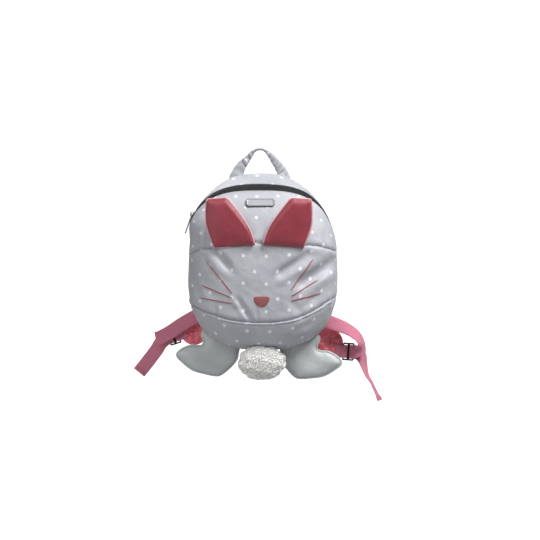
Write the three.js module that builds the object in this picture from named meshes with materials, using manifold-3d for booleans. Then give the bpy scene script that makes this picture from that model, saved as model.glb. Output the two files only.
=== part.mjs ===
// Toddler backpack shaped as a rabbit's face, hanging from its grab handle.
// Millimetres, +Z up, the front faces -Y, and the origin is the point where the handle hangs.
import * as THREE from 'three';
import { mergeVertices } from 'three/addons/utils/BufferGeometryUtils.js';
import Module from 'manifold-3d';

// Body
const BODY_WIDTH = 217;
const HANDLE_RISE = 34; // hang point down to the top of the body
const CROWN_RISE = 136; // widest line up to the top of the body
const BELLY_DROP = 118; // widest line down to the bottom
const BODY_DEPTH = 95; // back seam to the front of the face
const BACK_SEAM = 4; // back seam behind the handle's middle
const SHELL_WALL = 2; // lined and lightly padded cloth
const BACK_PAD = 8;
const BACK_ROUND = 3; // rounded rim of the back panel
const SEWN_GAP = 0.3; // between pieces that are sewn or laid on each other

// Zip
const ZIP_WIDTH = 14;
const ZIP_COIL = 3;
const ZIP_TAPE = 1.2;
const COIL_HEIGHT = 1.8;
const ZIP_END_RISE = 48; // end of the zip above the widest line
const ZIP_END_TAPER = 9; // degrees over which the end of the zip narrows

// Slider and its pull
const SLIDER_RISE = 76.5; // slider above the widest line
const SLIDER_LENGTH = 11;
const SLIDER_WIDTH = 7;
const SLIDER_PLATE = 1.4;
const BRIDGE_LENGTH = 7;
const BRIDGE_WIDTH = 2.4;
const BRIDGE_WIRE = 1.2;
const BRIDGE_HOLE = 2.4;
const PULL_LENGTH = 31;
const PULL_WIDTH = 8.4;
const PULL_WIRE = 1.5;
const PULL_LEAN = 10; // degrees that the pull leans from the zip's line on to the bag

// Handle
const HANDLE_SPAN = 69; // between the middles of its two feet
const HANDLE_WIDTH = 19;

// Badge and nose
const BADGE_WIDTH = 39.5;
const BADGE_HEIGHT = 13;
const BADGE_PLATE = 1.6;
const BADGE_DROP = 43; // below the top of the body
const NOSE_WIDTH = 23.2;
const NOSE_HEIGHT = 15.4;
const NOSE_PATCH = 1;
const NOSE_DROP = 49; // top of the nose below the widest line
const NOSE_SHIFT = 2.4; // to the wearer's left of the middle

// Seams across the front, below the top of the body in the middle
const UPPER_SEAM = 101;
const LOWER_SEAM = 215;

// Ears
const EAR_WIDTH = 71;
const EAR_HEIGHT = 69;
const EAR_PAD = 9;
const EAR_SPLIT = 11; // between the inner corners of the two ears
const EAR_SHIFT = -1.4;
const EAR_LEAN = 3; // degrees that the tops lean forward

// Feet
const FOOT_LENGTH = 91;
const FOOT_HEIGHT = 60;
const FOOT_PAD = 11;

// Tail
const TAIL_WIDTH = 70;
const TAIL_HEIGHT = 51;
const TAIL_TUCK = 7; // how far its top is pressed against the body
const TAIL_DEPTH = 38;
const TAIL_LOCK = 6; // radius of a lock of fleece
const TAIL_SHIFT = 2.6;

// Shoulder straps
const PAD_WIDTH = 37;
const PAD_THICK = 7;
const PAD_EDGE = 3;
const WEB_WIDTH = 20;
const WEB_THICK = 1.4;
const HEM_LENGTH = 7;
const STRAP_REACH = 100; // from the middle of the back to the middle of a pad's round end
const STRAP_SLACK = 12; // how far a pad bows away from the back
const LOOP_REACH = 72; // from the webbing's seam out to its turn
const LOOP_DROP = 36;
const TAIL_REACH = 47; // from the buckle out to the end of the free webbing
const TAIL_DROP = 71;

// Ladder lock
const LOCK_LENGTH = 17;
const LOCK_WIDTH = 26;
const LOCK_THICK = 3.5;
const LOCK_BAR = 2.2;
const LOCK_SLOT = 4.6;
const LOCK_STANDOFF = 3.5; // between a pad's end and its buckle
const TAB_WIDTH = 19;
const TAB_THICK = 1.2;

// Fineness of the faceted bodies
const ROUND_STEPS = 52;

const HALF_WIDTH = BODY_WIDTH / 2;
const WAIST = -(HANDLE_RISE + CROWN_RISE);
const BODY_HEIGHT = CROWN_RISE + BELLY_DROP;
const BACK_FACE = BACK_SEAM + SEWN_GAP + BACK_PAD;
const COLOURS = {
  grey: 0xb9bcc2, plainGrey: 0x9fa4a6, zip: 0x232528, metal: 0xc6c8ca,
  crimson: 0x9c3f4b, rose: 0xd0607a, coral: 0xd45a68, nose: 0x87504f,
  fleece: 0xeceae4, buckle: 0x141416,
};

// Layers of the body from the back seam to the front of the face. Width is a share of half the
// width, up and down are shares of the crown's rise and the belly's drop, centre is a share of
// the height below the widest line, the depths are shares of the depth, and the last two say
// how square the outline is.
const LAYERS = [
  { name: 'back seam', width: 0.955, up: 0.985, down: 0.965, centre: 0,
    top: 0, side: 0, bottom: 0, crown: 2.35, belly: 2.7 },
  { name: 'gusset', width: 0.985, up: 1, down: 0.99, centre: 0,
    top: 0.16, side: 0.17, bottom: 0.2, crown: 2.35, belly: 2.7 },
  { name: 'zip', width: 1, up: 0.845, down: 1, centre: 0,
    top: 0.46, side: 0.45, bottom: 0.44, crown: 2.9, belly: 2.7 },
  { name: 'brow', width: 0.985, up: 0.765, down: 0.985, centre: 0,
    top: 0.56, side: 0.58, bottom: 0.62, crown: 2.9, belly: 2.7 },
  { name: 'shoulder', width: 0.925, up: 0.675, down: 0.93, centre: 0,
    top: 0.7, side: 0.72, bottom: 0.79, crown: 2.8, belly: 2.65 },
  { name: 'cheek', width: 0.79, up: 0.545, down: 0.8, centre: 0.005,
    top: 0.83, side: 0.84, bottom: 0.92, crown: 2.6, belly: 2.5 },
  { name: 'face', width: 0.57, up: 0.385, down: 0.56, centre: 0.03,
    top: 0.93, side: 0.93, bottom: 0.98, crown: 2.4, belly: 2.4 },
  { name: 'muzzle', width: 0.29, up: 0.2, down: 0.27, centre: 0.065,
    top: 0.98, side: 0.985, bottom: 0.998, crown: 2.2, belly: 2.2 },
  { name: 'front', width: 0.012, up: 0.012, down: 0.012, centre: 0.09,
    top: 1, side: 1, bottom: 1, crown: 2, belly: 2 },
];
const LAYER_COLUMNS = ['width', 'up', 'down', 'centre', 'top', 'side', 'bottom', 'crown', 'belly'];
const ZIP = 2;
const FRONT = LAYERS.length - 1;

// Dents and folds of the front, from one end to the other. Places are shares of half the width
// and of the crown's rise (up) or the belly's drop (down), depth and reach shares of the depth.
const FOLDS = [
  { name: 'under the left ear', x1: -0.63, z1: 0.195, x2: -0.47, z2: 0.04, depth: 0.03, reach: 0.06 },
  { name: 'right brow', x1: 0.6, z1: 0.14, x2: 0.26, z2: -0.07, depth: 0.024, reach: 0.07 },
  { name: 'right cheek', x1: 0.95, z1: 0.08, x2: 0.55, z2: -0.2, depth: 0.05, reach: 0.1 },
  { name: 'left cheek', x1: -0.95, z1: -0.02, x2: -0.66, z2: -0.33, depth: 0.02, reach: 0.1 },
  { name: 'chin', x1: -0.31, z1: -0.5, x2: -0.16, z2: -0.64, depth: 0.016, reach: 0.05 },
  { name: 'side pleat', x1: -0.71, z1: 0.38, x2: -0.71, z2: 0.21, depth: 0.02, reach: 0.03 },
];

// Seams across the front: x as a share of half the width, z as a share of the height, up from
// the seam's middle.
const UPPER_SEAM_LINE = [
  { x: -1.1, z: -0.095 }, { x: -0.93, z: -0.062 }, { x: -0.79, z: -0.03 }, { x: -0.62, z: -0.026 },
  { x: -0.1, z: 0 }, { x: 0.02, z: 0.002 }, { x: 0.56, z: -0.008 }, { x: 0.8, z: -0.018 },
  { x: 1.1, z: -0.055 },
];
const LOWER_SEAM_LINE = [
  { x: -1.1, z: 0.13 }, { x: -0.93, z: 0.098 }, { x: -0.73, z: 0.06 }, { x: -0.46, z: 0.022 },
  { x: -0.18, z: 0.004 }, { x: 0, z: 0 }, { x: 0.22, z: 0.004 }, { x: 0.5, z: 0.026 }, { x: 0.77, z: 0.08 },
  { x: 0.98, z: 0.138 }, { x: 1.1, z: 0.17 },
];

// Handle from the left foot to the right: x as a share of half the span, z of the rise, across
// and through as shares of the strap's width, in the plane of the handle and front to back.
const HANDLE_LINE = [
  { x: -1.06, z: -1.36, across: 0.95, through: 0.34 },
  { x: -1, z: -1.1, across: 0.95, through: 0.34 },
  { x: -0.77, z: -0.65, across: 0.76, through: 0.4 },
  { x: -0.5, z: -0.32, across: 0.5, through: 0.55 },
  { x: -0.26, z: -0.03, across: 0.27, through: 0.8 },
  { x: -0.02, z: 0.062, across: 0.21, through: 1 },
  { x: 0.21, z: 0.005, across: 0.25, through: 0.95 },
  { x: 0.42, z: -0.19, across: 0.42, through: 0.66 },
  { x: 0.66, z: -0.5, across: 0.62, through: 0.46 },
  { x: 0.9, z: -0.86, across: 0.8, through: 0.36 },
  { x: 1, z: -1.12, across: 0.92, through: 0.34 },
  { x: 1.04, z: -1.36, across: 0.95, through: 0.34 },
];

// Ear from its inner bottom corner outwards: shares of the ear's width and height.
const EAR_OUTLINE = [
  { x: 0, z: 0 }, { x: 0.83, z: -0.05 }, { x: 0.975, z: 0.34 }, { x: 1, z: 0.61 }, { x: 0.985, z: 0.9 },
  { x: 0.95, z: 0.95 }, { x: 0.6, z: 0.98 }, { x: 0.5, z: 0.9 }, { x: 0.2, z: 0.48 }, { x: 0.08, z: 0.23 },
];

// Foot from its ankle round the toes to the heel: shares of the foot's length and height,
// from the ankle's outer edge at the body.
const FOOT_OUTLINE = [
  { x: -0.02, z: 0.12 }, { x: -0.01, z: -0.24 }, { x: 0.19, z: -0.22 }, { x: 0.34, z: -0.29 },
  { x: 0.445, z: -0.41 },
  { x: 0.45, z: -0.53 }, { x: 0.37, z: -0.66 }, { x: 0.21, z: -0.85 }, { x: 0, z: -0.95 },
  { x: -0.18, z: -1 },
  { x: -0.28, z: -0.96 }, { x: -0.425, z: -0.78 }, { x: -0.52, z: -0.6 }, { x: -0.545, z: -0.43 },
  { x: -0.57, z: -0.15 }, { x: -0.5, z: 0.1 },
];
const FEET = [
  { name: 'foot_left', side: -1, ankle: 0.735, rise: -0.824, turn: 0 },
  { name: 'foot_right', side: 1, ankle: 0.752, rise: -0.88, turn: -8 },
];

// Shoulder pads down the back: x as a share of the reach, z of the height below the top, bow of
// the slack. Both pads share the first rows, and each has its own end.
const PAD_TOP = [
  { x: 0.25, z: 0.062, bow: 0 }, { x: 0.3, z: 0.16, bow: 0.12 }, { x: 0.42, z: 0.37, bow: 0.86 },
  { x: 0.55, z: 0.56, bow: 1 },
];
const PAD_ENDS = {
  left: [{ x: 0.69, z: 0.74, bow: 0.9 }, { x: 0.82, z: 0.846, bow: 0.8 }, { x: 0.96, z: 0.9, bow: 0.78 }],
  right: [{ x: 0.7, z: 0.74, bow: 0.9 }, { x: 0.85, z: 0.875, bow: 0.8 }, { x: 1.01, z: 0.963, bow: 0.78 }],
};

// Webbing from its seam on the back out to the turn: out and down as shares of the loop's reach
// and drop, back as a share of the webbing's width, lean and turn of its width in degrees. Swing
// and tilt are the buckle's place beyond its pad and its own direction, in degrees. Flip is -1
// where the loop turns the webbing over on its way to the buckle.
const WEB_LOOPS = {
  left: {
    seam: 0.7, rise: -0.517, swing: -12, tilt: -18, flip: 1,
    rows: [
      { out: 0, down: 0, back: 0, lean: 28, turn: 0 },
      { out: 0.14, down: 0.145, back: 0, lean: 29, turn: 0 },
      { out: 0.27, down: 0.29, back: 0.02, lean: 31, turn: 0 },
      { out: 0.525, down: 0.59, back: 0.04, lean: 32, turn: 0 },
      { out: 0.78, down: 0.93, back: 0.05, lean: 30, turn: 0 },
      { out: 0.98, down: 1.135, back: 0.12, lean: 26, turn: 1 },
      { out: 1.055, down: 1.155, back: 0.29, lean: 22, turn: 0 },
      { out: 0.985, down: 1.16, back: 0.46, lean: 19, turn: 0 },
    ],
  },
  right: {
    seam: 0.72, rise: -0.619, swing: -26, tilt: -4, flip: -1,
    rows: [
      { out: 0, down: 0, back: 0, lean: 11, turn: 0 },
      { out: 0.165, down: 0.07, back: 0, lean: 13, turn: 0 },
      { out: 0.325, down: 0.17, back: 0.03, lean: 15, turn: 8 },
      { out: 0.557, down: 0.34, back: 0.1, lean: 26, turn: 24 },
      { out: 0.718, down: 0.489, back: 0.12, lean: 45, turn: 36 },
      { out: 0.844, down: 0.67, back: 0.15, lean: 64, turn: 44 },
      { out: 0.925, down: 0.86, back: 0.18, lean: 82, turn: 54 },
      { out: 0.96, down: 1.04, back: 0.22, lean: 104, turn: 58 },
      { out: 0.945, down: 1.22, back: 0.3, lean: 142, turn: 44 },
      { out: 0.894, down: 1.34, back: 0.42, lean: 170, turn: 12 },
    ],
  },
};
// The free end of each webbing, from its buckle: shares of the free end's reach and drop.
const WEB_TAILS = {
  left: [
    { out: 0.394, down: 0.148, back: 0.26, lean: 28, turn: 0 },
    { out: 0.51, down: 0.275, back: 0.34, lean: 35, turn: 0 },
    { out: 0.65, down: 0.4, back: 0.38, lean: 41, turn: 0 },
    { out: 0.83, down: 0.556, back: 0.38, lean: 45, turn: 0 },
    { out: 1.07, down: 0.753, back: 0.34, lean: 45, turn: 0 },
  ],
  right: [
    { out: 0.36, down: 0.055, back: 0.34, lean: 16, turn: 12 },
    { out: 0.44, down: 0.155, back: 0.46, lean: 34, turn: 34 },
    { out: 0.49, down: 0.29, back: 0.54, lean: 48, turn: 56 },
    { out: 0.58, down: 0.48, back: 0.58, lean: 56, turn: 74 },
    { out: 0.72, down: 0.635, back: 0.56, lean: 57, turn: 80 },
    { out: 0.84, down: 0.805, back: 0.52, lean: 60, turn: 79 },
    { out: 0.985, down: 1, back: 0.48, lean: 62, turn: 74 },
  ],
};

const wasm = await Module();
wasm.setup();

const clamp = (value, low, high) => Math.min(high, Math.max(low, value));
const ease = (t) => t * t * (3 - 2 * t);
const radians = (degrees) => THREE.MathUtils.degToRad(degrees);
const signedPower = (value, power) => Math.sign(value) * Math.abs(value) ** power;

// Smooth values between the rows of a table, for a station that may lie between two rows
function between(rows, station, columns) {
  const last = rows.length - 1;
  const i = clamp(Math.floor(station), 0, last - 1);
  const t = clamp(station - i, 0, 1);
  const row = (k) => rows[clamp(k, 0, last)];
  const mix = (a, b, c, d) => 0.5 * (
    2 * b + (c - a) * t + (2 * a - 5 * b + 4 * c - d) * t * t + (3 * b - a - 3 * c + d) * t ** 3);
  return Object.fromEntries(columns.map((key) => (
    [key, mix(row(i - 1)[key], row(i)[key], row(i + 1)[key], row(i + 2)[key])])));
}

// How far the folds press the front in at a place seen from the front
function dent(x, z) {
  let sum = 0;
  for (const fold of FOLDS) {
    const height = (share) => WAIST + share * (share > 0 ? CROWN_RISE : BELLY_DROP);
    const ax = fold.x1 * HALF_WIDTH;
    const az = height(fold.z1);
    const dx = fold.x2 * HALF_WIDTH - ax;
    const dz = height(fold.z2) - az;
    const along = clamp(((x - ax) * dx + (z - az) * dz) / (dx * dx + dz * dz), 0, 1);
    const away = Math.hypot(x - ax - along * dx, z - az - along * dz) / (fold.reach * BODY_DEPTH);
    sum += fold.depth * BODY_DEPTH * Math.exp(-away * away);
  }
  return sum;
}

// Point of the body's outside at an angle round the front view and a layer station
function bodyPoint(angle, station) {
  const layer = between(LAYERS, station, LAYER_COLUMNS);
  const c = Math.cos(angle);
  const s = Math.sin(angle);
  const power = 2 / (s > 0 ? layer.crown : layer.belly);
  const rise = s > 0 ? layer.up * CROWN_RISE : layer.down * BELLY_DROP;
  const x = layer.width * HALF_WIDTH * signedPower(c, power);
  const z = WAIST - layer.centre * BODY_HEIGHT + rise * signedPower(s, power);
  const depth = layer.side + ((s > 0 ? layer.top : layer.bottom) - layer.side) * s * s;
  const pressed = station > ZIP ? dent(x, z) * clamp(station - ZIP, 0, 1) : 0;
  return new THREE.Vector3(x, BACK_SEAM - depth * BODY_DEPTH + pressed, z);
}

// Outward direction of the body's outside
function bodyNormal(angle, station) {
  const step = 0.01;
  const low = Math.min(station, FRONT - 3 * step);
  const round = bodyPoint(angle + step, low).sub(bodyPoint(angle - step, low));
  const along = bodyPoint(angle, low + step).sub(bodyPoint(angle, Math.max(low - step, 0)));
  return round.cross(along).normalize();
}

function shellPoint(angle, station, outward) {
  return bodyPoint(angle, station).addScaledVector(bodyNormal(angle, station), outward);
}

// Station that lies a length further towards the front along the body's outside
function stationAfter(angle, station, length) {
  const step = 0.02;
  const reach = bodyPoint(angle, station + step).distanceTo(bodyPoint(angle, station - step)) / (2 * step);
  return station + length / reach;
}

// Station and angle of the front's outside that is seen at x and z from the front
function frontPlace(x, z) {
  let angle = Math.atan2(z - WAIST, x);
  let station = FRONT - 2;
  const step = 0.002;
  for (let round = 0; round < 40; round += 1) {
    const here = bodyPoint(angle, station);
    const turned = bodyPoint(angle + step, station);
    const moved = bodyPoint(angle, station + step);
    const ax = (turned.x - here.x) / step;
    const az = (turned.z - here.z) / step;
    const bx = (moved.x - here.x) / step;
    const bz = (moved.z - here.z) / step;
    const det = ax * bz - az * bx;
    const ex = x - here.x;
    const ez = z - here.z;
    angle += clamp((ex * bz - ez * bx) / det, -0.2, 0.2);
    station = clamp(station + clamp((ax * ez - az * ex) / det, -0.3, 0.3), ZIP, FRONT - step);
  }
  return { angle, station };
}

// Closed body through rings with equal counts of points, capped, or joined last to first. In a thin
// twisted band the diagonals of its two faces are mirrored, so that it keeps its thickness.
function loft(rings, loop = false, mirrored = false) {
  const count = rings[0].length;
  const points = rings.flat();
  const faces = [];
  const spans = loop ? rings.length : rings.length - 1;
  for (let i = 0; i < spans; i += 1) {
    const next = (i + 1) % rings.length;
    for (let k = 0; k < count; k += 1) {
      const a = i * count + k;
      const b = i * count + ((k + 1) % count);
      const c = next * count + ((k + 1) % count);
      const d = next * count + k;
      faces.push(...(mirrored && k >= count / 2 ? [a, b, d, b, c, d] : [a, b, c, a, c, d]));
    }
  }
  if (!loop) {
    for (const [ring, flip] of [[0, true], [rings.length - 1, false]]) {
      const hub = points.length;
      points.push(rings[ring].reduce((sum, p) => sum.add(p), new THREE.Vector3()).divideScalar(count));
      for (let k = 0; k < count; k += 1) {
        const a = ring * count + k;
        const b = ring * count + ((k + 1) % count);
        faces.push(...(flip ? [hub, b, a] : [hub, a, b]));
      }
    }
  }
  return facingOut(points, faces);
}

function facingOut(points, faces) {
  let volume = 0;
  for (let i = 0; i < faces.length; i += 3) {
    const [a, b, c] = [points[faces[i]], points[faces[i + 1]], points[faces[i + 2]]];
    volume += a.dot(new THREE.Vector3().crossVectors(b, c));
  }
  const index = volume > 0 ? faces : [...faces].reverse();
  const geometry = new THREE.BufferGeometry();
  const places = points.flatMap((p) => [p.x, p.y, p.z]);
  geometry.setAttribute('position', new THREE.Float32BufferAttribute(places, 3));
  geometry.setIndex(index);
  return geometry;
}

function solid(geometry) {
  const bare = geometry.clone();
  bare.deleteAttribute('normal');
  bare.deleteAttribute('uv');
  const merged = mergeVertices(bare, 1e-4);
  return new wasm.Manifold(new wasm.Mesh({
    numProp: 3,
    vertProperties: new Float32Array(merged.attributes.position.array),
    triVerts: new Uint32Array(merged.index.array),
  }));
}

function shape(manifold) {
  const mesh = manifold.getMesh();
  const geometry = new THREE.BufferGeometry();
  geometry.setAttribute('position', new THREE.BufferAttribute(new Float32Array(mesh.vertProperties), 3));
  geometry.setIndex(new THREE.BufferAttribute(new Uint32Array(mesh.triVerts), 1));
  return geometry;
}

const STATIONS = [...Array.from({ length: 2 * FRONT - 1 }, (_, i) => i / 2), FRONT];
const roundAngles = Array.from({ length: ROUND_STEPS }, (_, k) => (2 * Math.PI * (k + 0.5)) / ROUND_STEPS);

// Whole body as one solid, swollen by a gap, that trims what is sewn on or laid against it
function bodyEnvelope(gap) {
  const rings = [];
  const back = (inset, y) => roundAngles.map((angle) => {
    const p = bodyPoint(angle, 0);
    const share = 1 - inset / HALF_WIDTH;
    return new THREE.Vector3(p.x * share, y, WAIST + (p.z - WAIST) * share);
  });
  rings.push(back(BACK_ROUND - gap, BACK_FACE + gap));
  rings.push(back(-gap, BACK_FACE - BACK_ROUND));
  for (const station of STATIONS) rings.push(roundAngles.map((angle) => shellPoint(angle, station, gap)));
  return solid(loft(rings));
}

const envelope = bodyEnvelope(SEWN_GAP);

// How much of the zip there is at an angle: whole over the top, narrowing to nothing at its ends
function zipShare(angle) {
  const end = Math.asin((ZIP_END_RISE / (LAYERS[ZIP].up * CROWN_RISE)) ** (LAYERS[ZIP].crown / 2));
  const from = Math.PI / 2 - Math.abs(Math.PI / 2 - angle);
  return ease(clamp((from - end) / radians(ZIP_END_TAPER), 0, 1));
}

// Station of an edge that lies beside the zip's middle line, on the back or the front of it
function besideZip(angle, across) {
  return stationAfter(angle, ZIP, across * zipShare(angle));
}

function gussetShape() {
  const rings = [];
  const edge = (angle) => stationAfter(angle, besideZip(angle, -ZIP_WIDTH / 2), -SEWN_GAP / 2);
  const at = (angle, station) => Math.min(station, edge(angle));
  const stations = [...STATIONS.filter((station) => station < ZIP), ZIP];
  for (const station of stations) {
    rings.push(roundAngles.map((angle) => shellPoint(angle, at(angle, station), 0)));
  }
  for (const station of [...stations].reverse()) {
    rings.push(roundAngles.map((angle) => shellPoint(angle, at(angle, station), -SHELL_WALL)));
  }
  return loft(rings, true);
}

function backPanelShape() {
  const ring = (inset, y) => roundAngles.map((angle) => {
    const p = bodyPoint(angle, 0);
    const share = 1 - inset / HALF_WIDTH;
    return new THREE.Vector3(p.x * share, y, WAIST + (p.z - WAIST) * share);
  });
  const front = BACK_SEAM + SEWN_GAP;
  return loft([
    ring(0.5 * HALF_WIDTH, front), ring(0, front), ring(0, BACK_FACE - BACK_ROUND),
    ring(BACK_ROUND, BACK_FACE), ring(0.5 * HALF_WIDTH, BACK_FACE),
  ]);
}

// Front shell from the zip to the middle of the face, before it is cut into its three panels
function frontShell() {
  const edge = (angle) => stationAfter(angle, besideZip(angle, ZIP_WIDTH / 2), SEWN_GAP / 2);
  const rings = [];
  const stations = [ZIP, ...STATIONS.filter((station) => station > ZIP)];
  for (const outward of [0, -SHELL_WALL]) {
    const side = stations.map((station) => roundAngles.map((angle) => (
      shellPoint(angle, Math.max(station, edge(angle)), outward))));
    rings.push(...(outward === 0 ? side.reverse() : side));
  }
  return solid(loft(rings));
}

// Height of a seam across the front at x
function seamHeight(line, drop, x) {
  const share = x / HALF_WIDTH;
  let i = 0;
  while (i < line.length - 2 && share > line[i + 1].x) i += 1;
  const t = (share - line[i].x) / (line[i + 1].x - line[i].x);
  return between(line, i + clamp(t, 0, 1), ['z']).z * BODY_HEIGHT - HANDLE_RISE - drop;
}
const upperSeam = (x) => seamHeight(UPPER_SEAM_LINE, UPPER_SEAM, x);
const lowerSeam = (x) => seamHeight(LOWER_SEAM_LINE, LOWER_SEAM, x);

// Solid between two heights that depend on x, reaching through the whole body
function slab(low, high) {
  const steps = 22;
  const reach = 1.1 * HALF_WIDTH;
  const xs = Array.from({ length: steps + 1 }, (_, i) => -reach + (2 * reach * i) / steps);
  const outline = [...xs.map((x) => [x, low(x)]), ...xs.reverse().map((x) => [x, high(x)])];
  const flat = new THREE.Shape(outline.map(([x, z]) => new THREE.Vector2(x, z)));
  const block = new THREE.ExtrudeGeometry(flat, { depth: 2 * BODY_DEPTH, bevelEnabled: false });
  block.rotateX(Math.PI / 2);
  block.translate(0, BODY_DEPTH / 2, 0);
  return solid(block);
}

function frontPanels() {
  const shell = frontShell();
  const half = SEWN_GAP / 2;
  const above = () => 0;
  const below = () => -HANDLE_RISE - 1.1 * BODY_HEIGHT;
  return {
    upper: shape(shell.intersect(slab((x) => upperSeam(x) + half, above))),
    face: shape(shell.intersect(slab((x) => lowerSeam(x) + half, (x) => upperSeam(x) - half))),
    lower: shape(shell.intersect(slab(below, (x) => lowerSeam(x) - half))),
  };
}

// Band along the zip between two distances from its middle line
function zipBand(from, to, thick) {
  const sections = roundAngles.filter((angle) => zipShare(angle) > 0.4).map((angle) => {
    const corner = (across, outward) => shellPoint(angle, besideZip(angle, across), outward);
    return [corner(from, -thick), corner(to, -thick), corner(to, 0), corner(from, 0)];
  });
  return loft(sections);
}

// Place and directions at the slider: along the zip downwards, across it, and outwards
function sliderFrame() {
  const rise = SLIDER_RISE / (LAYERS[ZIP].up * CROWN_RISE);
  const angle = Math.PI - Math.asin(rise ** (LAYERS[ZIP].crown / 2));
  const out = bodyNormal(angle, ZIP);
  const along = bodyPoint(angle + 0.02, ZIP).sub(bodyPoint(angle - 0.02, ZIP)).normalize();
  const across = new THREE.Vector3().crossVectors(out, along).normalize();
  out.crossVectors(along, across);
  return new THREE.Matrix4().makeBasis(along, across, out).setPosition(bodyPoint(angle, ZIP));
}
const PIN_HEIGHT = SEWN_GAP + SLIDER_PLATE + BRIDGE_HOLE / 2;

function sliderShape() {
  const box = (l, w, h, x, z) => solid(new THREE.BoxGeometry(l, w, h).translate(x, 0, z));
  const plateTop = SEWN_GAP + SLIDER_PLATE;
  const outline = new THREE.Shape();
  const half = SLIDER_LENGTH / 2;
  outline.moveTo(half, -SLIDER_WIDTH * 0.3);
  outline.lineTo(half, SLIDER_WIDTH * 0.3);
  outline.lineTo(-half * 0.6, SLIDER_WIDTH / 2);
  outline.quadraticCurveTo(-half * 1.2, 0, -half * 0.6, -SLIDER_WIDTH / 2);
  const plate = new THREE.ExtrudeGeometry(outline, {
    depth: SLIDER_PLATE, bevelEnabled: false, curveSegments: 6,
  });
  plate.translate(0, 0, SEWN_GAP);
  const post = BRIDGE_HOLE + BRIDGE_WIRE;
  const ends = (BRIDGE_LENGTH - BRIDGE_WIRE) / 2;
  const sunk = 0.4;
  return shape(solid(plate)
    .add(box(BRIDGE_WIRE, BRIDGE_WIDTH, post + sunk, -ends, plateTop + (post - sunk) / 2))
    .add(box(BRIDGE_WIRE, BRIDGE_WIDTH, post + sunk, ends, plateTop + (post - sunk) / 2))
    .add(box(BRIDGE_LENGTH, BRIDGE_WIDTH, BRIDGE_WIRE, 0, plateTop + BRIDGE_HOLE + BRIDGE_WIRE / 2)));
}

// Wire loop that hangs through the slider's bridge
function pullShape() {
  const half = PULL_WIDTH / 2 - PULL_WIRE / 2;
  const long = PULL_LENGTH - PULL_WIRE;
  const corner = 1.6;
  const path = [];
  const arc = (x, y, from) => {
    for (let i = 0; i <= 3; i += 1) {
      const turn = from + (Math.PI / 2) * (i / 3);
      path.push([x + corner * Math.cos(turn), y + corner * Math.sin(turn)]);
    }
  };
  arc(long - corner, half - corner, 0);
  arc(corner, half - corner, Math.PI / 2);
  arc(corner, corner - half, Math.PI);
  arc(long - corner, corner - half, 1.5 * Math.PI);
  const rings = path.map(([x, y], i) => {
    const [px, py] = path[(i + path.length - 1) % path.length];
    const [nx, ny] = path[(i + 1) % path.length];
    const side = new THREE.Vector3(ny - py, px - nx, 0).normalize();
    return Array.from({ length: 6 }, (_, k) => {
      const turn = (2 * Math.PI * (k + 0.5)) / 6;
      return new THREE.Vector3(x, y, 0)
        .addScaledVector(side, (PULL_WIRE / 2) * Math.cos(turn))
        .add(new THREE.Vector3(0, 0, (PULL_WIRE / 2) * Math.sin(turn)));
    });
  });
  return loft(rings, true);
}

function handleShape() {
  const steps = 2 * (HANDLE_LINE.length - 1);
  const at = (t) => {
    const row = between(HANDLE_LINE, t, ['x', 'z', 'across', 'through']);
    return { ...row, point: new THREE.Vector3((row.x * HANDLE_SPAN) / 2, 0, row.z * HANDLE_RISE) };
  };
  const rings = [];
  for (let i = 0; i <= steps; i += 1) {
    const t = i / 2;
    const here = at(t);
    const way = at(t + 0.05).point.sub(at(t - 0.05).point).normalize();
    const side = new THREE.Vector3(-way.z, 0, way.x);
    rings.push(Array.from({ length: 10 }, (_, k) => {
      const turn = (2 * Math.PI * k) / 10;
      return here.point.clone()
        .addScaledVector(side, (here.across * HANDLE_WIDTH / 2) * signedPower(Math.cos(turn), 0.8))
        .add(new THREE.Vector3(0, (here.through * HANDLE_WIDTH / 2) * signedPower(Math.sin(turn), 0.8), 0));
    }));
  }
  return shape(solid(loft(rings)).subtract(envelope));
}

// Flat outline given in x and z, thickened along y with rounded rims and moved by a slope
function padded(points, thick, rim, slope) {
  const flat = new THREE.Shape(points.map(([x, z]) => new THREE.Vector2(x, z)));
  const pad = new THREE.ExtrudeGeometry(flat, {
    depth: thick - 2 * rim, bevelEnabled: true, bevelThickness: rim, bevelSize: rim, bevelOffset: -rim,
    bevelSegments: 2, curveSegments: 4,
  });
  pad.rotateX(Math.PI / 2);
  pad.translate(0, thick / 2 - rim, 0);
  const place = pad.attributes.position;
  for (let i = 0; i < place.count; i += 1) {
    place.setY(i, place.getY(i) + slope(place.getX(i), place.getZ(i)));
  }
  return pad;
}

function earShape(side) {
  const inner = side * EAR_SPLIT / 2 + EAR_SHIFT;
  const base = upperSeam(inner);
  const points = EAR_OUTLINE.map(({ x, z }) => [inner + side * x * EAR_WIDTH, base + z * EAR_HEIGHT]);
  const ordered = side > 0 ? points : [...points].reverse();
  const surface = (x, z) => {
    const { angle, station } = frontPlace(x, z);
    return bodyPoint(angle, station).y;
  };
  const outer = inner + side * 0.8 * EAR_WIDTH;
  const innerY = surface(inner, base);
  const outerY = surface(outer, upperSeam(outer));
  const lean = Math.tan(radians(EAR_LEAN));
  const across = (outerY - innerY) / (outer - inner);
  const slope = (x, z) => innerY + across * (x - inner) - (z - base) * lean - EAR_PAD * 0.42;
  return shape(solid(padded(ordered, EAR_PAD, EAR_PAD * 0.28, slope)).subtract(envelope));
}

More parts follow.
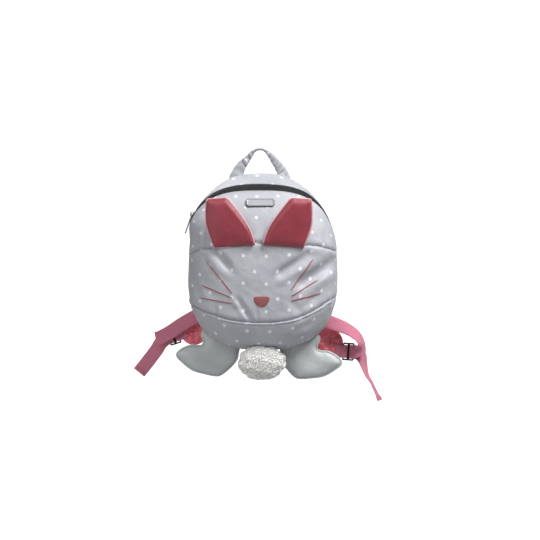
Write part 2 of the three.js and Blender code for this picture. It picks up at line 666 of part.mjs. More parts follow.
function footShape({ side, ankle, rise, turn }) {
  const x0 = ankle * HALF_WIDTH;
  const z0 = WAIST + rise * BELLY_DROP;
  const c = Math.cos(radians(turn));
  const s = Math.sin(radians(turn));
  const points = FOOT_OUTLINE.map(({ x, z }) => {
    const px = x * FOOT_LENGTH;
    const pz = z * FOOT_HEIGHT;
    return [side * (x0 + px * c - pz * s), z0 + px * s + pz * c];
  });
  const ordered = side > 0 ? [...points].reverse() : points;
  const seam = bodyPoint(1.5 * Math.PI, ZIP).y;
  return shape(solid(padded(ordered, FOOT_PAD, FOOT_PAD * 0.3, () => seam)).subtract(envelope));
}

// Fleece pompom: a head with short round locks fused to it
function tailShape() {
  const bottom = bodyPoint(1.5 * Math.PI, ZIP);
  const middle = new THREE.Vector3(
    TAIL_SHIFT, bottom.y - 0.62 * TAIL_DEPTH, bottom.z + TAIL_TUCK - TAIL_HEIGHT / 2);
  const radii = new THREE.Vector3(TAIL_WIDTH, TAIL_DEPTH, TAIL_HEIGHT).multiplyScalar(0.5)
    .addScalar(-TAIL_LOCK * 0.62);
  const head = new THREE.SphereGeometry(1, 14, 9).scale(radii.x, radii.y, radii.z)
    .translate(middle.x, middle.y, middle.z);
  let fleece = solid(head);
  const locks = 30;
  const golden = Math.PI * (3 - Math.sqrt(5));
  for (let i = 0; i < locks; i += 1) {
    const up = 1 - (2 * (i + 0.5)) / locks;
    const round = Math.sqrt(1 - up * up);
    const way = new THREE.Vector3(round * Math.cos(golden * i), round * Math.sin(golden * i), up);
    const spot = way.clone().multiply(radii);
    const size = TAIL_LOCK * (0.86 + 0.2 * Math.sin(2.3 * i));
    const lock = new THREE.IcosahedronGeometry(size, 0).rotateX(1.7 * i).rotateZ(0.9 * i);
    lock.translate(middle.x + spot.x, middle.y + spot.y, middle.z + spot.z);
    fleece = fleece.add(solid(lock));
  }
  return shape(fleece.subtract(envelope));
}

// Thin plate laid on the front at x and z, standing proud by its thickness
function badgeShape() {
  const z = -HANDLE_RISE - BADGE_DROP;
  const { angle, station } = frontPlace(0, z);
  const out = bodyNormal(angle, station);
  const right = new THREE.Vector3(1, 0, 0);
  const up = new THREE.Vector3().crossVectors(out, right).normalize();
  const corner = BADGE_HEIGHT * 0.26;
  const [w, h] = [BADGE_WIDTH / 2, BADGE_HEIGHT / 2];
  const flat = new THREE.Shape();
  flat.absarc(w - corner, h - corner, corner, 0, Math.PI / 2);
  flat.absarc(corner - w, h - corner, corner, Math.PI / 2, Math.PI);
  flat.absarc(corner - w, corner - h, corner, Math.PI, 1.5 * Math.PI);
  flat.absarc(w - corner, corner - h, corner, 1.5 * Math.PI, 2 * Math.PI);
  const sunk = 3;
  const lift = SEWN_GAP;
  const plate = new THREE.ExtrudeGeometry(flat, {
    depth: sunk + lift + BADGE_PLATE, bevelEnabled: false, curveSegments: 3,
  });
  plate.translate(0, 0, -sunk);
  plate.applyMatrix4(new THREE.Matrix4().makeBasis(right, up, out).setPosition(bodyPoint(angle, station)));
  return shape(solid(plate).subtract(envelope));
}

function noseShape() {
  const top = WAIST - NOSE_DROP;
  const [w, h] = [NOSE_WIDTH / 2, NOSE_HEIGHT];
  const flat = new THREE.Shape();
  flat.moveTo(-w * 0.7, 0);
  flat.lineTo(w * 0.7, 0);
  flat.quadraticCurveTo(w * 1.12, -h * 0.02, w * 0.98, -h * 0.34);
  flat.quadraticCurveTo(w * 0.8, -h * 0.72, w * 0.34, -h * 0.93);
  flat.quadraticCurveTo(0, -h * 1.07, -w * 0.34, -h * 0.93);
  flat.quadraticCurveTo(-w * 0.8, -h * 0.72, -w * 0.98, -h * 0.34);
  flat.quadraticCurveTo(-w * 1.12, -h * 0.02, -w * 0.7, 0);
  const block = new THREE.ExtrudeGeometry(flat, { depth: BODY_DEPTH, bevelEnabled: false, curveSegments: 3 });
  block.rotateX(Math.PI / 2);
  block.translate(NOSE_SHIFT, -BODY_DEPTH / 4, top);
  return shape(solid(block).intersect(bodyEnvelope(SEWN_GAP + NOSE_PATCH)).subtract(envelope));
}

// Flat band through stations that give its middle and the direction of its width
function ribbon(stations, width, thick, fine = 3, hem = 0) {
  const columns = ['x', 'y', 'z', 'wx', 'wy', 'wz'];
  const steps = fine * (stations.length - 1);
  const at = (t) => {
    const r = between(stations, t, columns);
    return { point: new THREE.Vector3(r.x, r.y, r.z), wide: new THREE.Vector3(r.wx, r.wy, r.wz).normalize() };
  };
  const places = Array.from({ length: steps + 1 }, (_, i) => at(i / fine));
  const sections = places.map(({ point, wide }, i) => {
    const before = places[Math.max(i - 1, 0)].point;
    const way = places[Math.min(i + 1, steps)].point.clone().sub(before).normalize();
    const side = wide.clone().addScaledVector(way, -wide.dot(way)).normalize();
    const face = new THREE.Vector3().crossVectors(way, side);
    const folded = hem > 0 && point.distanceTo(places[steps].point) < hem;
    const half = (folded ? 1.8 : 1) * (thick / 2);
    const ring = [[-1, -1], [1, -1], [1, 1], [-1, 1]].map(([a, b]) => point.clone()
      .addScaledVector(side, (a * width) / 2).addScaledVector(face, b * half));
    return { ring, way };
  });
  // Where the band turns on one of its edges, the sections that would fold over are left out
  const kept = [sections[0]];
  for (const section of sections) {
    const last = kept[kept.length - 1];
    const ahead = section.way.clone().add(last.way).normalize();
    const least = Math.min(...section.ring.map((p, k) => p.clone().sub(last.ring[k]).dot(ahead)));
    if (least > SEWN_GAP) kept.push(section);
  }
  return loft(kept.map(({ ring }) => ring), false, true);
}

const widthWay = (side, lean, turn) => ({
  wx: side * Math.sin(radians(lean)) * Math.cos(radians(turn)),
  wy: Math.sin(radians(turn)),
  wz: Math.cos(radians(lean)) * Math.cos(radians(turn)),
});

// Pads hang behind the webbing's seam, so their flat side is one webbing away from the back
const PAD_BEHIND = BACK_FACE + SEWN_GAP + PAD_THICK / 2;
const WEB_BEHIND = BACK_FACE + SEWN_GAP + WEB_THICK / 2;

function padRows(key) {
  const side = key === 'left' ? -1 : 1;
  return [...PAD_TOP, ...PAD_ENDS[key]].map(({ x, z, bow }) => ({
    x: side * x * STRAP_REACH, y: PAD_BEHIND + bow * STRAP_SLACK, z: -HANDLE_RISE - z * BODY_HEIGHT,
  }));
}

// Padded strap with a round end, thick in the middle and thin at its edges
function padShape(key, gap = 0) {
  const rows = padRows(key);
  const fine = 3;
  const spans = fine * (rows.length - 1);
  const at = (t) => {
    const r = between(rows, t, ['x', 'y', 'z']);
    return new THREE.Vector3(r.x, r.y, r.z);
  };
  const places = Array.from({ length: spans + 1 }, (_, i) => ({ point: at(i / fine), share: 1 }));
  const last = places[spans].point;
  const way = last.clone().sub(places[spans - 1].point).normalize();
  const radius = PAD_WIDTH / 2 + gap;
  for (const turn of [25, 45, 62, 77]) {
    const out = Math.sin(radians(turn)) * radius;
    places.push({ point: last.clone().addScaledVector(way, out), share: Math.cos(radians(turn)) });
  }
  const sections = places.map(({ point, share }, i) => {
    const before = places[Math.max(i - 1, 0)].point;
    const after = places[Math.min(i + 1, places.length - 1)].point;
    const along = after.clone().sub(before).normalize();
    const wide = new THREE.Vector3(-along.z, 0, along.x).normalize();
    const face = new THREE.Vector3().crossVectors(wide, along);
    const thick = PAD_EDGE + (PAD_THICK - PAD_EDGE) * Math.min(1, share * 1.2) + 2 * gap;
    const w = radius * share;
    return [[-1, -0.5], [-0.72, -1], [0.72, -1], [1, -0.5], [1, 0.5], [0.72, 1], [-0.72, 1], [-1, 0.5]]
      .map(([a, b]) => point.clone().addScaledVector(wide, a * w).addScaledVector(face, (b * thick) / 2));
  });
  return loft(sections);
}

// Place and directions of a buckle beyond its pad's round end: out, width and face
function lockFrame(key) {
  const side = key === 'left' ? -1 : 1;
  const rows = padRows(key);
  const end = rows[rows.length - 1];
  const { swing, tilt } = WEB_LOOPS[key];
  const outwards = (degrees) => (
    new THREE.Vector3(side * Math.cos(radians(degrees)), 0, Math.sin(radians(degrees))));
  const out = outwards(tilt);
  const wide = new THREE.Vector3(-side * Math.sin(radians(tilt)), 0, Math.cos(radians(tilt)));
  const face = new THREE.Vector3(0, 1, 0);
  const reach = PAD_WIDTH / 2 + LOCK_STANDOFF + LOCK_LENGTH / 2;
  const middle = new THREE.Vector3(end.x, end.y, end.z).addScaledVector(outwards(swing), reach);
  return { side, out, wide, face, middle };
}

function lockShape(key) {
  const { side, out, wide, face, middle } = lockFrame(key);
  const round = 2;
  const [l, w] = [LOCK_LENGTH / 2, LOCK_WIDTH / 2];
  const flat = new THREE.Shape();
  flat.absarc(l - round, w - round, round, 0, Math.PI / 2);
  flat.absarc(round - l, w - round, round, Math.PI / 2, Math.PI);
  flat.absarc(round - l, round - w, round, Math.PI, 1.5 * Math.PI);
  flat.absarc(l - round, round - w, round, 1.5 * Math.PI, 2 * Math.PI);
  const frame = new THREE.ExtrudeGeometry(flat, { depth: LOCK_THICK, bevelEnabled: false, curveSegments: 3 });
  frame.translate(0, 0, -LOCK_THICK / 2);
  let lock = solid(frame);
  for (const way of [-1, 1]) {
    const slot = new THREE.BoxGeometry(LOCK_SLOT, WEB_WIDTH + 4 * SEWN_GAP, 2 * LOCK_THICK);
    slot.translate(way * (l - LOCK_BAR - LOCK_SLOT / 2), 0, 0);
    lock = lock.subtract(solid(slot));
  }
  const basis = new THREE.Matrix4().makeBasis(out, wide, face.clone().multiplyScalar(-side))
    .setPosition(middle);
  return shape(lock).applyMatrix4(basis);
}

// Stations round a buckle's bar, from one face of the buckle to the other
function roundBar(frame, bar, thick, reachOut) {
  const clear = LOCK_THICK / 2 + 1.3 * SEWN_GAP + thick / 2;
  const slot = (LOCK_SLOT + LOCK_BAR) / 2;
  const turn = 0.86 * slot;
  const edge = -LOCK_BAR / 2 - thick / 4;
  const rows = [
    [reachOut, -clear], [0.6 * LOCK_BAR, -clear], [edge, -clear], [-turn, -0.58 * clear], [-slot, 0],
    [-turn, 0.58 * clear], [edge, clear], [0.6 * LOCK_BAR, clear], [reachOut, 1.15 * clear],
  ];
  return rows.map(([away, through]) => {
    const p = bar.point.clone().addScaledVector(frame.out, bar.way * away)
      .addScaledVector(frame.face, through);
    return { x: p.x, y: p.y, z: p.z, wx: frame.wide.x, wy: frame.wide.y, wz: frame.wide.z };
  });
}

const barPoint = (frame, way) => ({
  way, point: frame.middle.clone().addScaledVector(frame.out, way * (LOCK_LENGTH - LOCK_BAR) / 2),
});

function tabShape(key) {
  const frame = lockFrame(key);
  const reach = LOCK_BAR / 2 + LOCK_STANDOFF + PAD_WIDTH / 5;
  const rows = roundBar(frame, barPoint(frame, -1), TAB_THICK, reach);
  return shape(solid(ribbon(rows, TAB_WIDTH, TAB_THICK, 2)).subtract(solid(padShape(key, SEWN_GAP))));
}

function webbingShape(key) {
  const frame = lockFrame(key);
  const { seam, rise, flip, rows } = WEB_LOOPS[key];
  const { side } = frame;
  const loop = rows.map(({ out, down, back, lean, turn }) => ({
    x: side * (seam * HALF_WIDTH + out * LOOP_REACH),
    y: WEB_BEHIND + back * WEB_WIDTH,
    z: WAIST + rise * BELLY_DROP - down * LOOP_DROP,
    ...widthWay(side, lean, turn),
  }));
  const overBar = roundBar(frame, barPoint(frame, 1), WEB_THICK, LOCK_BAR * 1.4);
  const tail = WEB_TAILS[key].map(({ out, down, back, lean, turn }) => ({
    x: frame.middle.x + side * out * TAIL_REACH,
    y: frame.middle.y + back * WEB_WIDTH,
    z: frame.middle.z - down * TAIL_DROP,
    ...widthWay(side, lean, turn),
  }));
  const flipped = [...overBar, ...tail].map((row) => (
    { ...row, wx: flip * row.wx, wy: flip * row.wy, wz: flip * row.wz }));
  return ribbon([...loop, ...flipped], WEB_WIDTH, WEB_THICK, 2, HEM_LENGTH);
}

const group = new THREE.Group();

function addPiece(name, geometry, color, roughness, metalness = 0, parent = group) {
  const mesh = new THREE.Mesh(geometry, new THREE.MeshStandardMaterial({ color, roughness, metalness }));
  mesh.name = name;
  parent.add(mesh);
  return mesh;
}

addPiece('back_panel', backPanelShape(), COLOURS.grey, 0.8);
addPiece('gusset', gussetShape(), COLOURS.grey, 0.6);
const panels = frontPanels();
addPiece('upper_panel', panels.upper, COLOURS.grey, 0.6);
addPiece('face_panel', panels.face, COLOURS.grey, 0.6);
addPiece('lower_panel', panels.lower, COLOURS.grey, 0.6);

const tapeOut = (ZIP_WIDTH - SEWN_GAP) / 2;
const tapeIn = (ZIP_COIL + SEWN_GAP) / 2;
const coilEdge = (ZIP_COIL - SEWN_GAP) / 2;
addPiece('zip_tape_rear', zipBand(-tapeOut, -tapeIn, ZIP_TAPE), COLOURS.zip, 0.85);
addPiece('zip_tape_front', zipBand(tapeIn, tapeOut, ZIP_TAPE), COLOURS.zip, 0.85);
addPiece('zip_coil', zipBand(-coilEdge, coilEdge, COIL_HEIGHT), COLOURS.zip, 0.5);

const slider = new THREE.Group();
slider.applyMatrix4(sliderFrame());
addPiece('zip_slider', sliderShape(), COLOURS.metal, 0.3, 0.9, slider);
const pin = new THREE.Group();
pin.position.z = PIN_HEIGHT;
pin.rotation.y = radians(PULL_LEAN);
addPiece('zip_puller', pullShape(), COLOURS.metal, 0.3, 0.9, pin);
slider.add(pin);
group.add(slider);

addPiece('handle', handleShape(), COLOURS.grey, 0.75);
addPiece('badge', badgeShape(), COLOURS.metal, 0.4, 0.6);
addPiece('nose', noseShape(), COLOURS.nose, 0.8);
for (const [name, side] of [['ear_left', -1], ['ear_right', 1]]) {
  addPiece(name, earShape(side), COLOURS.crimson, 0.55);
}
for (const foot of FEET) addPiece(foot.name, footShape(foot), COLOURS.plainGrey, 0.6);
addPiece('tail', tailShape(), COLOURS.fleece, 0.95);
for (const key of ['left', 'right']) {
  addPiece(`pad_${key}`, padShape(key), COLOURS.coral, 0.7);
  addPiece(`tab_${key}`, tabShape(key), COLOURS.rose, 0.8);
  addPiece(`buckle_${key}`, lockShape(key), COLOURS.buckle, 0.45);
  addPiece(`webbing_${key}`, webbingShape(key), COLOURS.rose, 0.8);
}

export default group;
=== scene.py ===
"""Toddler backpack shaped as a rabbit's face, hanging from its grab handle.

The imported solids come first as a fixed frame. Each sub-assembly is a class that builds its own
meshes in millimetres, in the frame of the solids, and dresses them.
"""
import logging
import math
from dataclasses import dataclass, field
from enum import Enum
from typing import Callable, NamedTuple, Optional, Sequence

import bmesh
import bpy
import numpy as np
from mathutils import Matrix, Vector
from mathutils.geometry import delaunay_2d_cdt

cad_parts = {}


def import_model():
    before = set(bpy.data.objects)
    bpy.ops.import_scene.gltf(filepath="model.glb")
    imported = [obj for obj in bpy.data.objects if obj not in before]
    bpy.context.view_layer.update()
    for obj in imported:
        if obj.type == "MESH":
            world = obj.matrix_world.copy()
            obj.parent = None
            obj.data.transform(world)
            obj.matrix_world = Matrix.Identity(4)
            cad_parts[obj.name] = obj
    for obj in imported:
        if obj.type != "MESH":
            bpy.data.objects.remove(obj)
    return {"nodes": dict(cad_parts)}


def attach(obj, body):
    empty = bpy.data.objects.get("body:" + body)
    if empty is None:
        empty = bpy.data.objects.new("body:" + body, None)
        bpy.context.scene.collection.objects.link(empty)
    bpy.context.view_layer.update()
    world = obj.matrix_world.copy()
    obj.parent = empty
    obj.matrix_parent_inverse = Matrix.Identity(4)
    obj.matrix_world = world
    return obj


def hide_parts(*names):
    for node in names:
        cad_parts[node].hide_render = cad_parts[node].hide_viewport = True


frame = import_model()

Array = np.ndarray
MM = 0.001
# Direction away from the viewer, out of the back panel
AFT = np.array([0, 1, 0])
LOG = logging.getLogger("backpack")
BAG = "bag"
PULLER = "puller"
Surface = Callable[[Array, Array, Array], Array]


class Slot(Enum):
    """Material slots of the record."""

    DOTTED = "dotted_fabric"
    PLAIN = "plain_grey_fabric"
    CRIMSON = "crimson_fabric"
    NOSE = "nose_embroidery"
    FLEECE = "fleece"
    TAPE = "zip_tape"
    COIL = "zip_coil"
    ZIP_METAL = "zip_metal"
    BADGE = "badge_metal"
    CORAL = "coral_fabric"
    WEBBING = "rose_webbing"
    BUCKLE = "buckle_plastic"


class Panel(Enum):
    """Panels of the front, from the top."""

    UPPER = "upper_panel"
    FACE = "face_panel"
    LOWER = "lower_panel"


class Layer(NamedTuple):
    """Outline of the body at one depth, in shares of the body's sizes."""

    width: float
    up: float
    down: float
    centre: float
    top: float
    side: float
    bottom: float
    crown: float
    belly: float


LAYERS = (
    Layer(0.955, 0.985, 0.965, 0, 0, 0, 0, 2.35, 2.7),
    Layer(0.985, 1, 0.99, 0, 0.16, 0.17, 0.2, 2.35, 2.7),
    Layer(1, 0.845, 1, 0, 0.46, 0.45, 0.44, 2.9, 2.7),
    Layer(0.985, 0.765, 0.985, 0, 0.56, 0.58, 0.62, 2.9, 2.7),
    Layer(0.925, 0.675, 0.93, 0, 0.7, 0.72, 0.79, 2.8, 2.65),
    Layer(0.79, 0.545, 0.8, 0.005, 0.83, 0.84, 0.92, 2.6, 2.5),
    Layer(0.57, 0.385, 0.56, 0.03, 0.93, 0.93, 0.98, 2.4, 2.4),
    Layer(0.29, 0.2, 0.27, 0.065, 0.98, 0.985, 0.998, 2.2, 2.2),
    Layer(0.012, 0.012, 0.012, 0.09, 1, 1, 1, 2, 2),
)
# Rows of the table at the zip's middle line and at the foremost point
ZIP = 2.0
FRONT = 8.0


class Dent(NamedTuple):
    """Straight dent of the front: its ends, its depth and its reach to each side."""

    x1: float
    z1: float
    x2: float
    z2: float
    depth: float
    reach: float


# Broad folds: ends in shares of half the width and of the rise or drop, the rest of the depth
FOLDS = (
    Dent(-0.63, 0.195, -0.47, 0.04, 0.03, 0.06),
    Dent(0.6, 0.14, 0.26, -0.07, 0.024, 0.07),
    Dent(0.95, 0.08, 0.55, -0.2, 0.05, 0.1),
    Dent(-0.95, -0.02, -0.66, -0.33, 0.02, 0.1),
    Dent(-0.31, -0.5, -0.16, -0.64, 0.016, 0.05),
    Dent(-0.71, 0.38, -0.71, 0.21, 0.02, 0.03),
)
# Finer folds with a ridge on each side, in millimetres seen from the front
CREASES = (
    Dent(-67, -145, -37, -181, 2.6, 7),
    Dent(-79, -146, -53, -185, -1.2, 7),
    Dent(-77, -112, -77, -146, 1.9, 3),
    Dent(-84, -110, -86, -143, -1.0, 5),
    Dent(76, -149, 16, -185, 2.6, 9),
    Dent(64, -167, 22, -197, -1.2, 8),
    Dent(114, -158, 50, -197, 2.8, 10),
    Dent(110, -178, 58, -207, -1.3, 9),
    Dent(-34, -210, -11, -248, 2.2, 5),
    Dent(-42, -212, -18, -248, -1.2, 5),
    Dent(-4, -220, -4, -252, 1.0, 4),
    Dent(-64, -226, -62, -245, 1.0, 4),
    Dent(38, -210, 68, -246, 1.0, 8),
    Dent(-106, -168, -84, -216, 1.5, 8),
    Dent(4, -134, 4, -162, 0.8, 7),
    Dent(92, -114, 96, -152, 1.3, 6),
    Dent(88, -204, 58, -234, 1.3, 7),
    Dent(-62, -260, -26, -275, 0.8, 7),
    Dent(46, -263, 78, -249, 0.8, 7),
)


class Place(NamedTuple):
    """Point of a seam or an outline, in shares of the sizes that it follows."""

    x: float
    z: float


# Seams across the front, in shares of half the width and of the height
UPPER_LINE = (
    Place(-1.1, -0.095), Place(-0.93, -0.062), Place(-0.79, -0.03),
    Place(-0.62, -0.026), Place(-0.1, 0), Place(0.02, 0.002), Place(0.56, -0.008),
    Place(0.8, -0.018), Place(1.1, -0.055),
)
LOWER_LINE = (
    Place(-1.1, 0.13), Place(-0.93, 0.098), Place(-0.73, 0.06),
    Place(-0.46, 0.022), Place(-0.18, 0.004), Place(0, 0), Place(0.22, 0.004),
    Place(0.5, 0.026), Place(0.77, 0.08), Place(0.98, 0.138), Place(1.1, 0.17),
)


def unit(vectors: Array) -> Array:
    """Vectors of length one along the last axis."""
    return vectors / np.maximum(np.linalg.norm(vectors, axis=-1, keepdims=True), 1e-9)


def ease(t: Array) -> Array:
    """Smooth step from 0 to 1."""
    t = np.clip(t, 0, 1)
    return t * t * (3 - 2 * t)


def bell(t: Array) -> Array:
    """Bell curve, 1 at zero."""
    return np.exp(-t**2)


def dome(t: Array) -> Array:
    """Quarter circle that rises from 0 to 1."""
    return np.sqrt(np.clip(1 - (1 - np.clip(t, 0, 1)) ** 2, 0, 1))


def keep_sign(values: Array, power: float) -> Array:
    """Power of the size of values, with the sign of the values."""
    return np.sign(values) * np.abs(values) ** power


def run_of(line: Array) -> Array:
    """Distance of each point of a line from its start, along the line."""
    return np.concatenate([[0], np.cumsum(np.linalg.norm(np.diff(line, axis=0), axis=1))])


def sample(values: Array, run: Array, spots: Array) -> Array:
    """Three columns of values over a run, at other spots of the run."""
    return np.stack([np.interp(spots, run, values[:, k]) for k in range(3)], -1)


def spline(a: Array, b: Array, c: Array, d: Array,
           t: Array) -> Array:
    """Smooth value between b and c, which passes through all four."""
    return 0.5 * (2 * b + (c - a) * t + (2 * a - 5 * b + 4 * c - d) * t**2
                  + (3 * b - a - 3 * c + d) * t**3)


def spread(across: Array, along: Array) -> Array:
    """Cloth coordinates of a net: places across its columns and along its rows."""
    return np.stack(np.broadcast_arrays(across[None], along[:, None]), -1)


def corners(net: Array, axis: int) -> Array:
    """Values of a net at the four corners of each face.

    Args:
        net: Values, with the net's rows along one axis and its columns along the next.
        axis: Axis of the rows.

    Returns:
        The values, with an axis for the corners after the columns.
    """
    start, end = slice(None, -1), slice(1, None)
    picks = ((start, start), (start, end), (end, end), (end, start))
    return np.stack([net[(*[slice(None)] * axis, *pick)] for pick in picks], axis + 2)


def round_box(low: tuple[float, float], high: tuple[float, float], corner: float,
              pieces: int) -> Array:
    """Loop of a box with round corners, anticlockwise from its far upper corner.

    Args:
        low: Lowest values in both directions.
        high: Highest values.
        corner: Radius of the corners.
        pieces: Points in a corner.

    Returns:
        The points of the loop.
    """
    (x1, z1), (x2, z2) = low, high
    loop = []
    for x, z, start in ((x2 - corner, z2 - corner, 0), (x1 + corner, z2 - corner, 90),
                        (x1 + corner, z1 + corner, 180), (x2 - corner, z1 + corner, 270)):
        turn = np.radians(start + np.linspace(0, 90, pieces))
        loop.append(np.stack([x + corner * np.cos(turn), z + corner * np.sin(turn)], -1))
    return np.concatenate(loop)


def between(rows: Sequence, station: Array) -> Array:
    """Smooth values between the rows of a table.

    Args:
        rows: Table with one tuple a row.
        station: Places along the table, 0 at the first row.

    Returns:
        Values in the shape of station, with one more axis for the columns.
    """
    table = np.array(rows, float)
    last = len(table) - 1
    station = np.asarray(station, float)
    i = np.clip(np.floor(station).astype(int), 0, last - 1)
    t = np.clip(station - i, 0, 1)[..., None]
    a, b, c, d = (table[np.clip(i + k, 0, last)] for k in (-1, 0, 1, 2))
    return spline(a, b, c, d, t)


@dataclass(frozen=True)
class BodyForm:
    """Outside of the bag over an angle round the front view and a station along its depth."""

    width: float = 217.0
    handle_rise: float = 34.0
    crown_rise: float = 136.0
    belly_drop: float = 118.0
    depth: float = 95.0
    back_seam: float = 4.0
    back_pad: float = 8.0
    sewn_gap: float = 0.3
    upper_seam: float = 101.0
    lower_seam: float = 215.0
    sway: float = 4.2
    narrow_high: float = 2.2
    narrow_low: float = 0.6
    seam_groove: float = 1.7
    seam_roll: float = 0.7
    pucker: float = 0.28
    slack: float = 0.5
    crinkle: float = 0.14

    @property
    def half(self) -> float:
        """Half the body's width."""
        return self.width / 2

    @property
    def waist(self) -> float:
        """Height of the widest line."""
        return -(self.handle_rise + self.crown_rise)

    @property
    def height(self) -> float:
        """Height of the body."""
        return self.crown_rise + self.belly_drop

    @property
    def back_face(self) -> float:
        """Rear face of the back panel."""
        return self.back_seam + self.sewn_gap + self.back_pad

    def height_of(self, share: float) -> float:
        """Height of a share of the rise above or the drop below the widest line."""
        return self.waist + share * (self.crown_rise if share > 0 else self.belly_drop)

    def dent(self, x: Array, z: Array) -> Array:
        """How far the broad folds press the front in."""
        total = np.zeros_like(x)
        for fold in FOLDS:
            ends = (fold.x1 * self.half, self.height_of(fold.z1),
                    fold.x2 * self.half, self.height_of(fold.z2))
            away = distance_to_line(x, z, *ends) / (fold.reach * self.depth)
            total += fold.depth * self.depth * bell(away)
        return total

    def point(self, angle: Array, station: Array) -> Array:
        """Points of the smooth form."""
        angle, station = np.broadcast_arrays(np.asarray(angle, float), np.asarray(station, float))
        layer = Layer(*np.moveaxis(between(LAYERS, station), -1, 0))
        c, s = np.cos(angle), np.sin(angle)
        above = s > 0
        power = 2 / np.where(above, layer.crown, layer.belly)
        rise = np.where(above, layer.up * self.crown_rise, layer.down * self.belly_drop)
        x = layer.width * self.half * keep_sign(c, power)
        z = self.waist - layer.centre * self.height + rise * keep_sign(s, power)
        depth = layer.side + (np.where(above, layer.top, layer.bottom) - layer.side) * s * s
        pressed = self.dent(x, z) * np.clip(station - ZIP, 0, 1)
        # The lower body hangs a little to the right and is drawn in at its sides
        drawn_in = self.narrow_high + (self.narrow_low - self.narrow_high) * ease((-150 - z) / 60)
        hangs = ease((-100 - z) / 35) * (self.sway - drawn_in * x / self.half)
        return np.stack([x + hangs, self.back_seam - depth * self.depth + pressed, z], -1)

    def normal(self, angle: Array, station: Array) -> Array:
        """Outward directions of the smooth form."""
        step = 0.01
        low = np.minimum(station, FRONT - 3 * step)
        around = self.point(angle + step, low) - self.point(angle - step, low)
        along = self.point(angle, low + step) - self.point(angle, np.maximum(low - step, 0))
        return unit(np.cross(around, along))

    def shell(self, angle: Array, station: Array, outward: float = 0) -> Array:
        """Points at a distance outside the smooth form."""
        angle, station = np.broadcast_arrays(np.asarray(angle, float), np.asarray(station, float))
        return self.point(angle, station) + outward * self.normal(angle, station)

    def after(self, angle: Array, station: Array, length: Array) -> Array:
        """Stations that lie a length further to the front."""
        step = 0.02
        gap = self.point(angle, station + step) - self.point(angle, station - step)
        return station + length * 2 * step / np.linalg.norm(gap, axis=-1)

    def place(self, x: Array, z: Array) -> tuple[Array, Array]:
        """Angle and station of the front that is seen at x and z.

        Args:
            x: Places across the front.
            z: Heights, in the shape of x.

        Returns:
            The angles and the stations.
        """
        x, z = np.asarray(x, float), np.asarray(z, float)
        angle = np.arctan2(z - self.waist, x)
        station = np.full_like(angle, FRONT - 2)
        step = 0.002
        for _ in range(40):
            here = self.point(angle, station)
            turned = (self.point(angle + step, station) - here) / step
            moved = (self.point(angle, station + step) - here) / step
            det = turned[..., 0] * moved[..., 2] - turned[..., 2] * moved[..., 0]
            det = np.where(np.abs(det) < 1e-9, 1e-9, det)
            ex, ez = x - here[..., 0], z - here[..., 2]
            angle = angle + np.clip((ex * moved[..., 2] - ez * moved[..., 0]) / det, -0.2, 0.2)
            change = (turned[..., 0] * ez - turned[..., 2] * ex) / det
            station = np.clip(station + np.clip(change, -0.3, 0.3), ZIP, FRONT - step)
        return angle, station

    def seam(self, panel_below: Panel, x: Array) -> Array:
        """Height of the seam at the top of a panel."""
        line, drop = ((UPPER_LINE, self.upper_seam) if panel_below is Panel.FACE
                      else (LOWER_LINE, self.lower_seam))
        share = np.asarray(x, float) / self.half
        xs = np.array([row.x for row in line])
        i = np.clip(np.searchsorted(xs, share) - 1, 0, len(xs) - 2)
        t = np.clip((share - xs[i]) / (xs[i + 1] - xs[i]), 0, 1)
        return between(line, i + t)[..., 1] * self.height - self.handle_rise - drop

    def relief(self, x: Array, z: Array) -> Array:
        """Height of seams, puckers, creases and soft waves above the smooth front."""
        lift = np.zeros_like(x)
        for panel in (Panel.FACE, Panel.LOWER):
            line = self.seam(panel, x)
            slope = self.seam(panel, x + 1) - line
            d = (z - line) / np.sqrt(1 + slope**2)
            lift -= self.seam_groove * bell(d / 1.9)
            lift += self.seam_roll * bell((np.abs(d) - 6) / 5)
            uneven = 0.6 + 0.4 * np.sin(x * 0.067 + 1)
            lift += self.pucker * np.sin(x * 0.72 + 2.1 * np.sin(x * 0.11)) * uneven * bell(d / 7)
        for crease in CREASES:
            q = distance_to_line(x, z, *crease[:4]) / crease.reach
            dx, dz = crease.x2 - crease.x1, crease.z2 - crease.z1
            along = ((x - crease.x1) * dx + (z - crease.z1) * dz) / (dx * dx + dz * dz)
            fade = ease((along + 0.1) / 0.45) * ease((1.1 - along) / 0.45)
            lift -= crease.depth * (1 - 1.1 * q**2) * bell(q) * fade
        wave = np.sin(x * 0.071 + 1.3 * np.sin(z * 0.045)) * np.sin(z * 0.083 + 0.9)
        fine = np.sin(x * 0.23 + z * 0.11 + 1.7 * np.sin(z * 0.09)) * np.sin(z * 0.19 + x * 0.05)
        lift += self.slack * wave + self.crinkle * fine
        return lift

    def front(self, x: Array, z: Array, lift: float = 0) -> tuple[Array, Array]:
        """Points on the finished cloth of the front.

        Args:
            x: Places across the front.
            z: Heights, in the shape of x.
            lift: Distance above the cloth.

        Returns:
            The points and the outward directions.
        """
        angle, station = self.place(x, z)
        points = self.point(angle, station)
        out = self.normal(angle, station)
        rise = self.relief(points[..., 0], points[..., 2]) + lift
        return points + out * rise[..., None], out


def distance_to_line(x: Array, z: Array, x1: float, z1: float, x2: float,
                     z2: float) -> Array:
    """Distance of places from a straight piece of line."""
    dx, dz = x2 - x1, z2 - z1
    along = np.clip(((x - x1) * dx + (z - z1) * dz) / (dx * dx + dz * dz), 0, 1)
    return np.hypot(x - x1 - along * dx, z - z1 - along * dz)


FORM = BodyForm()


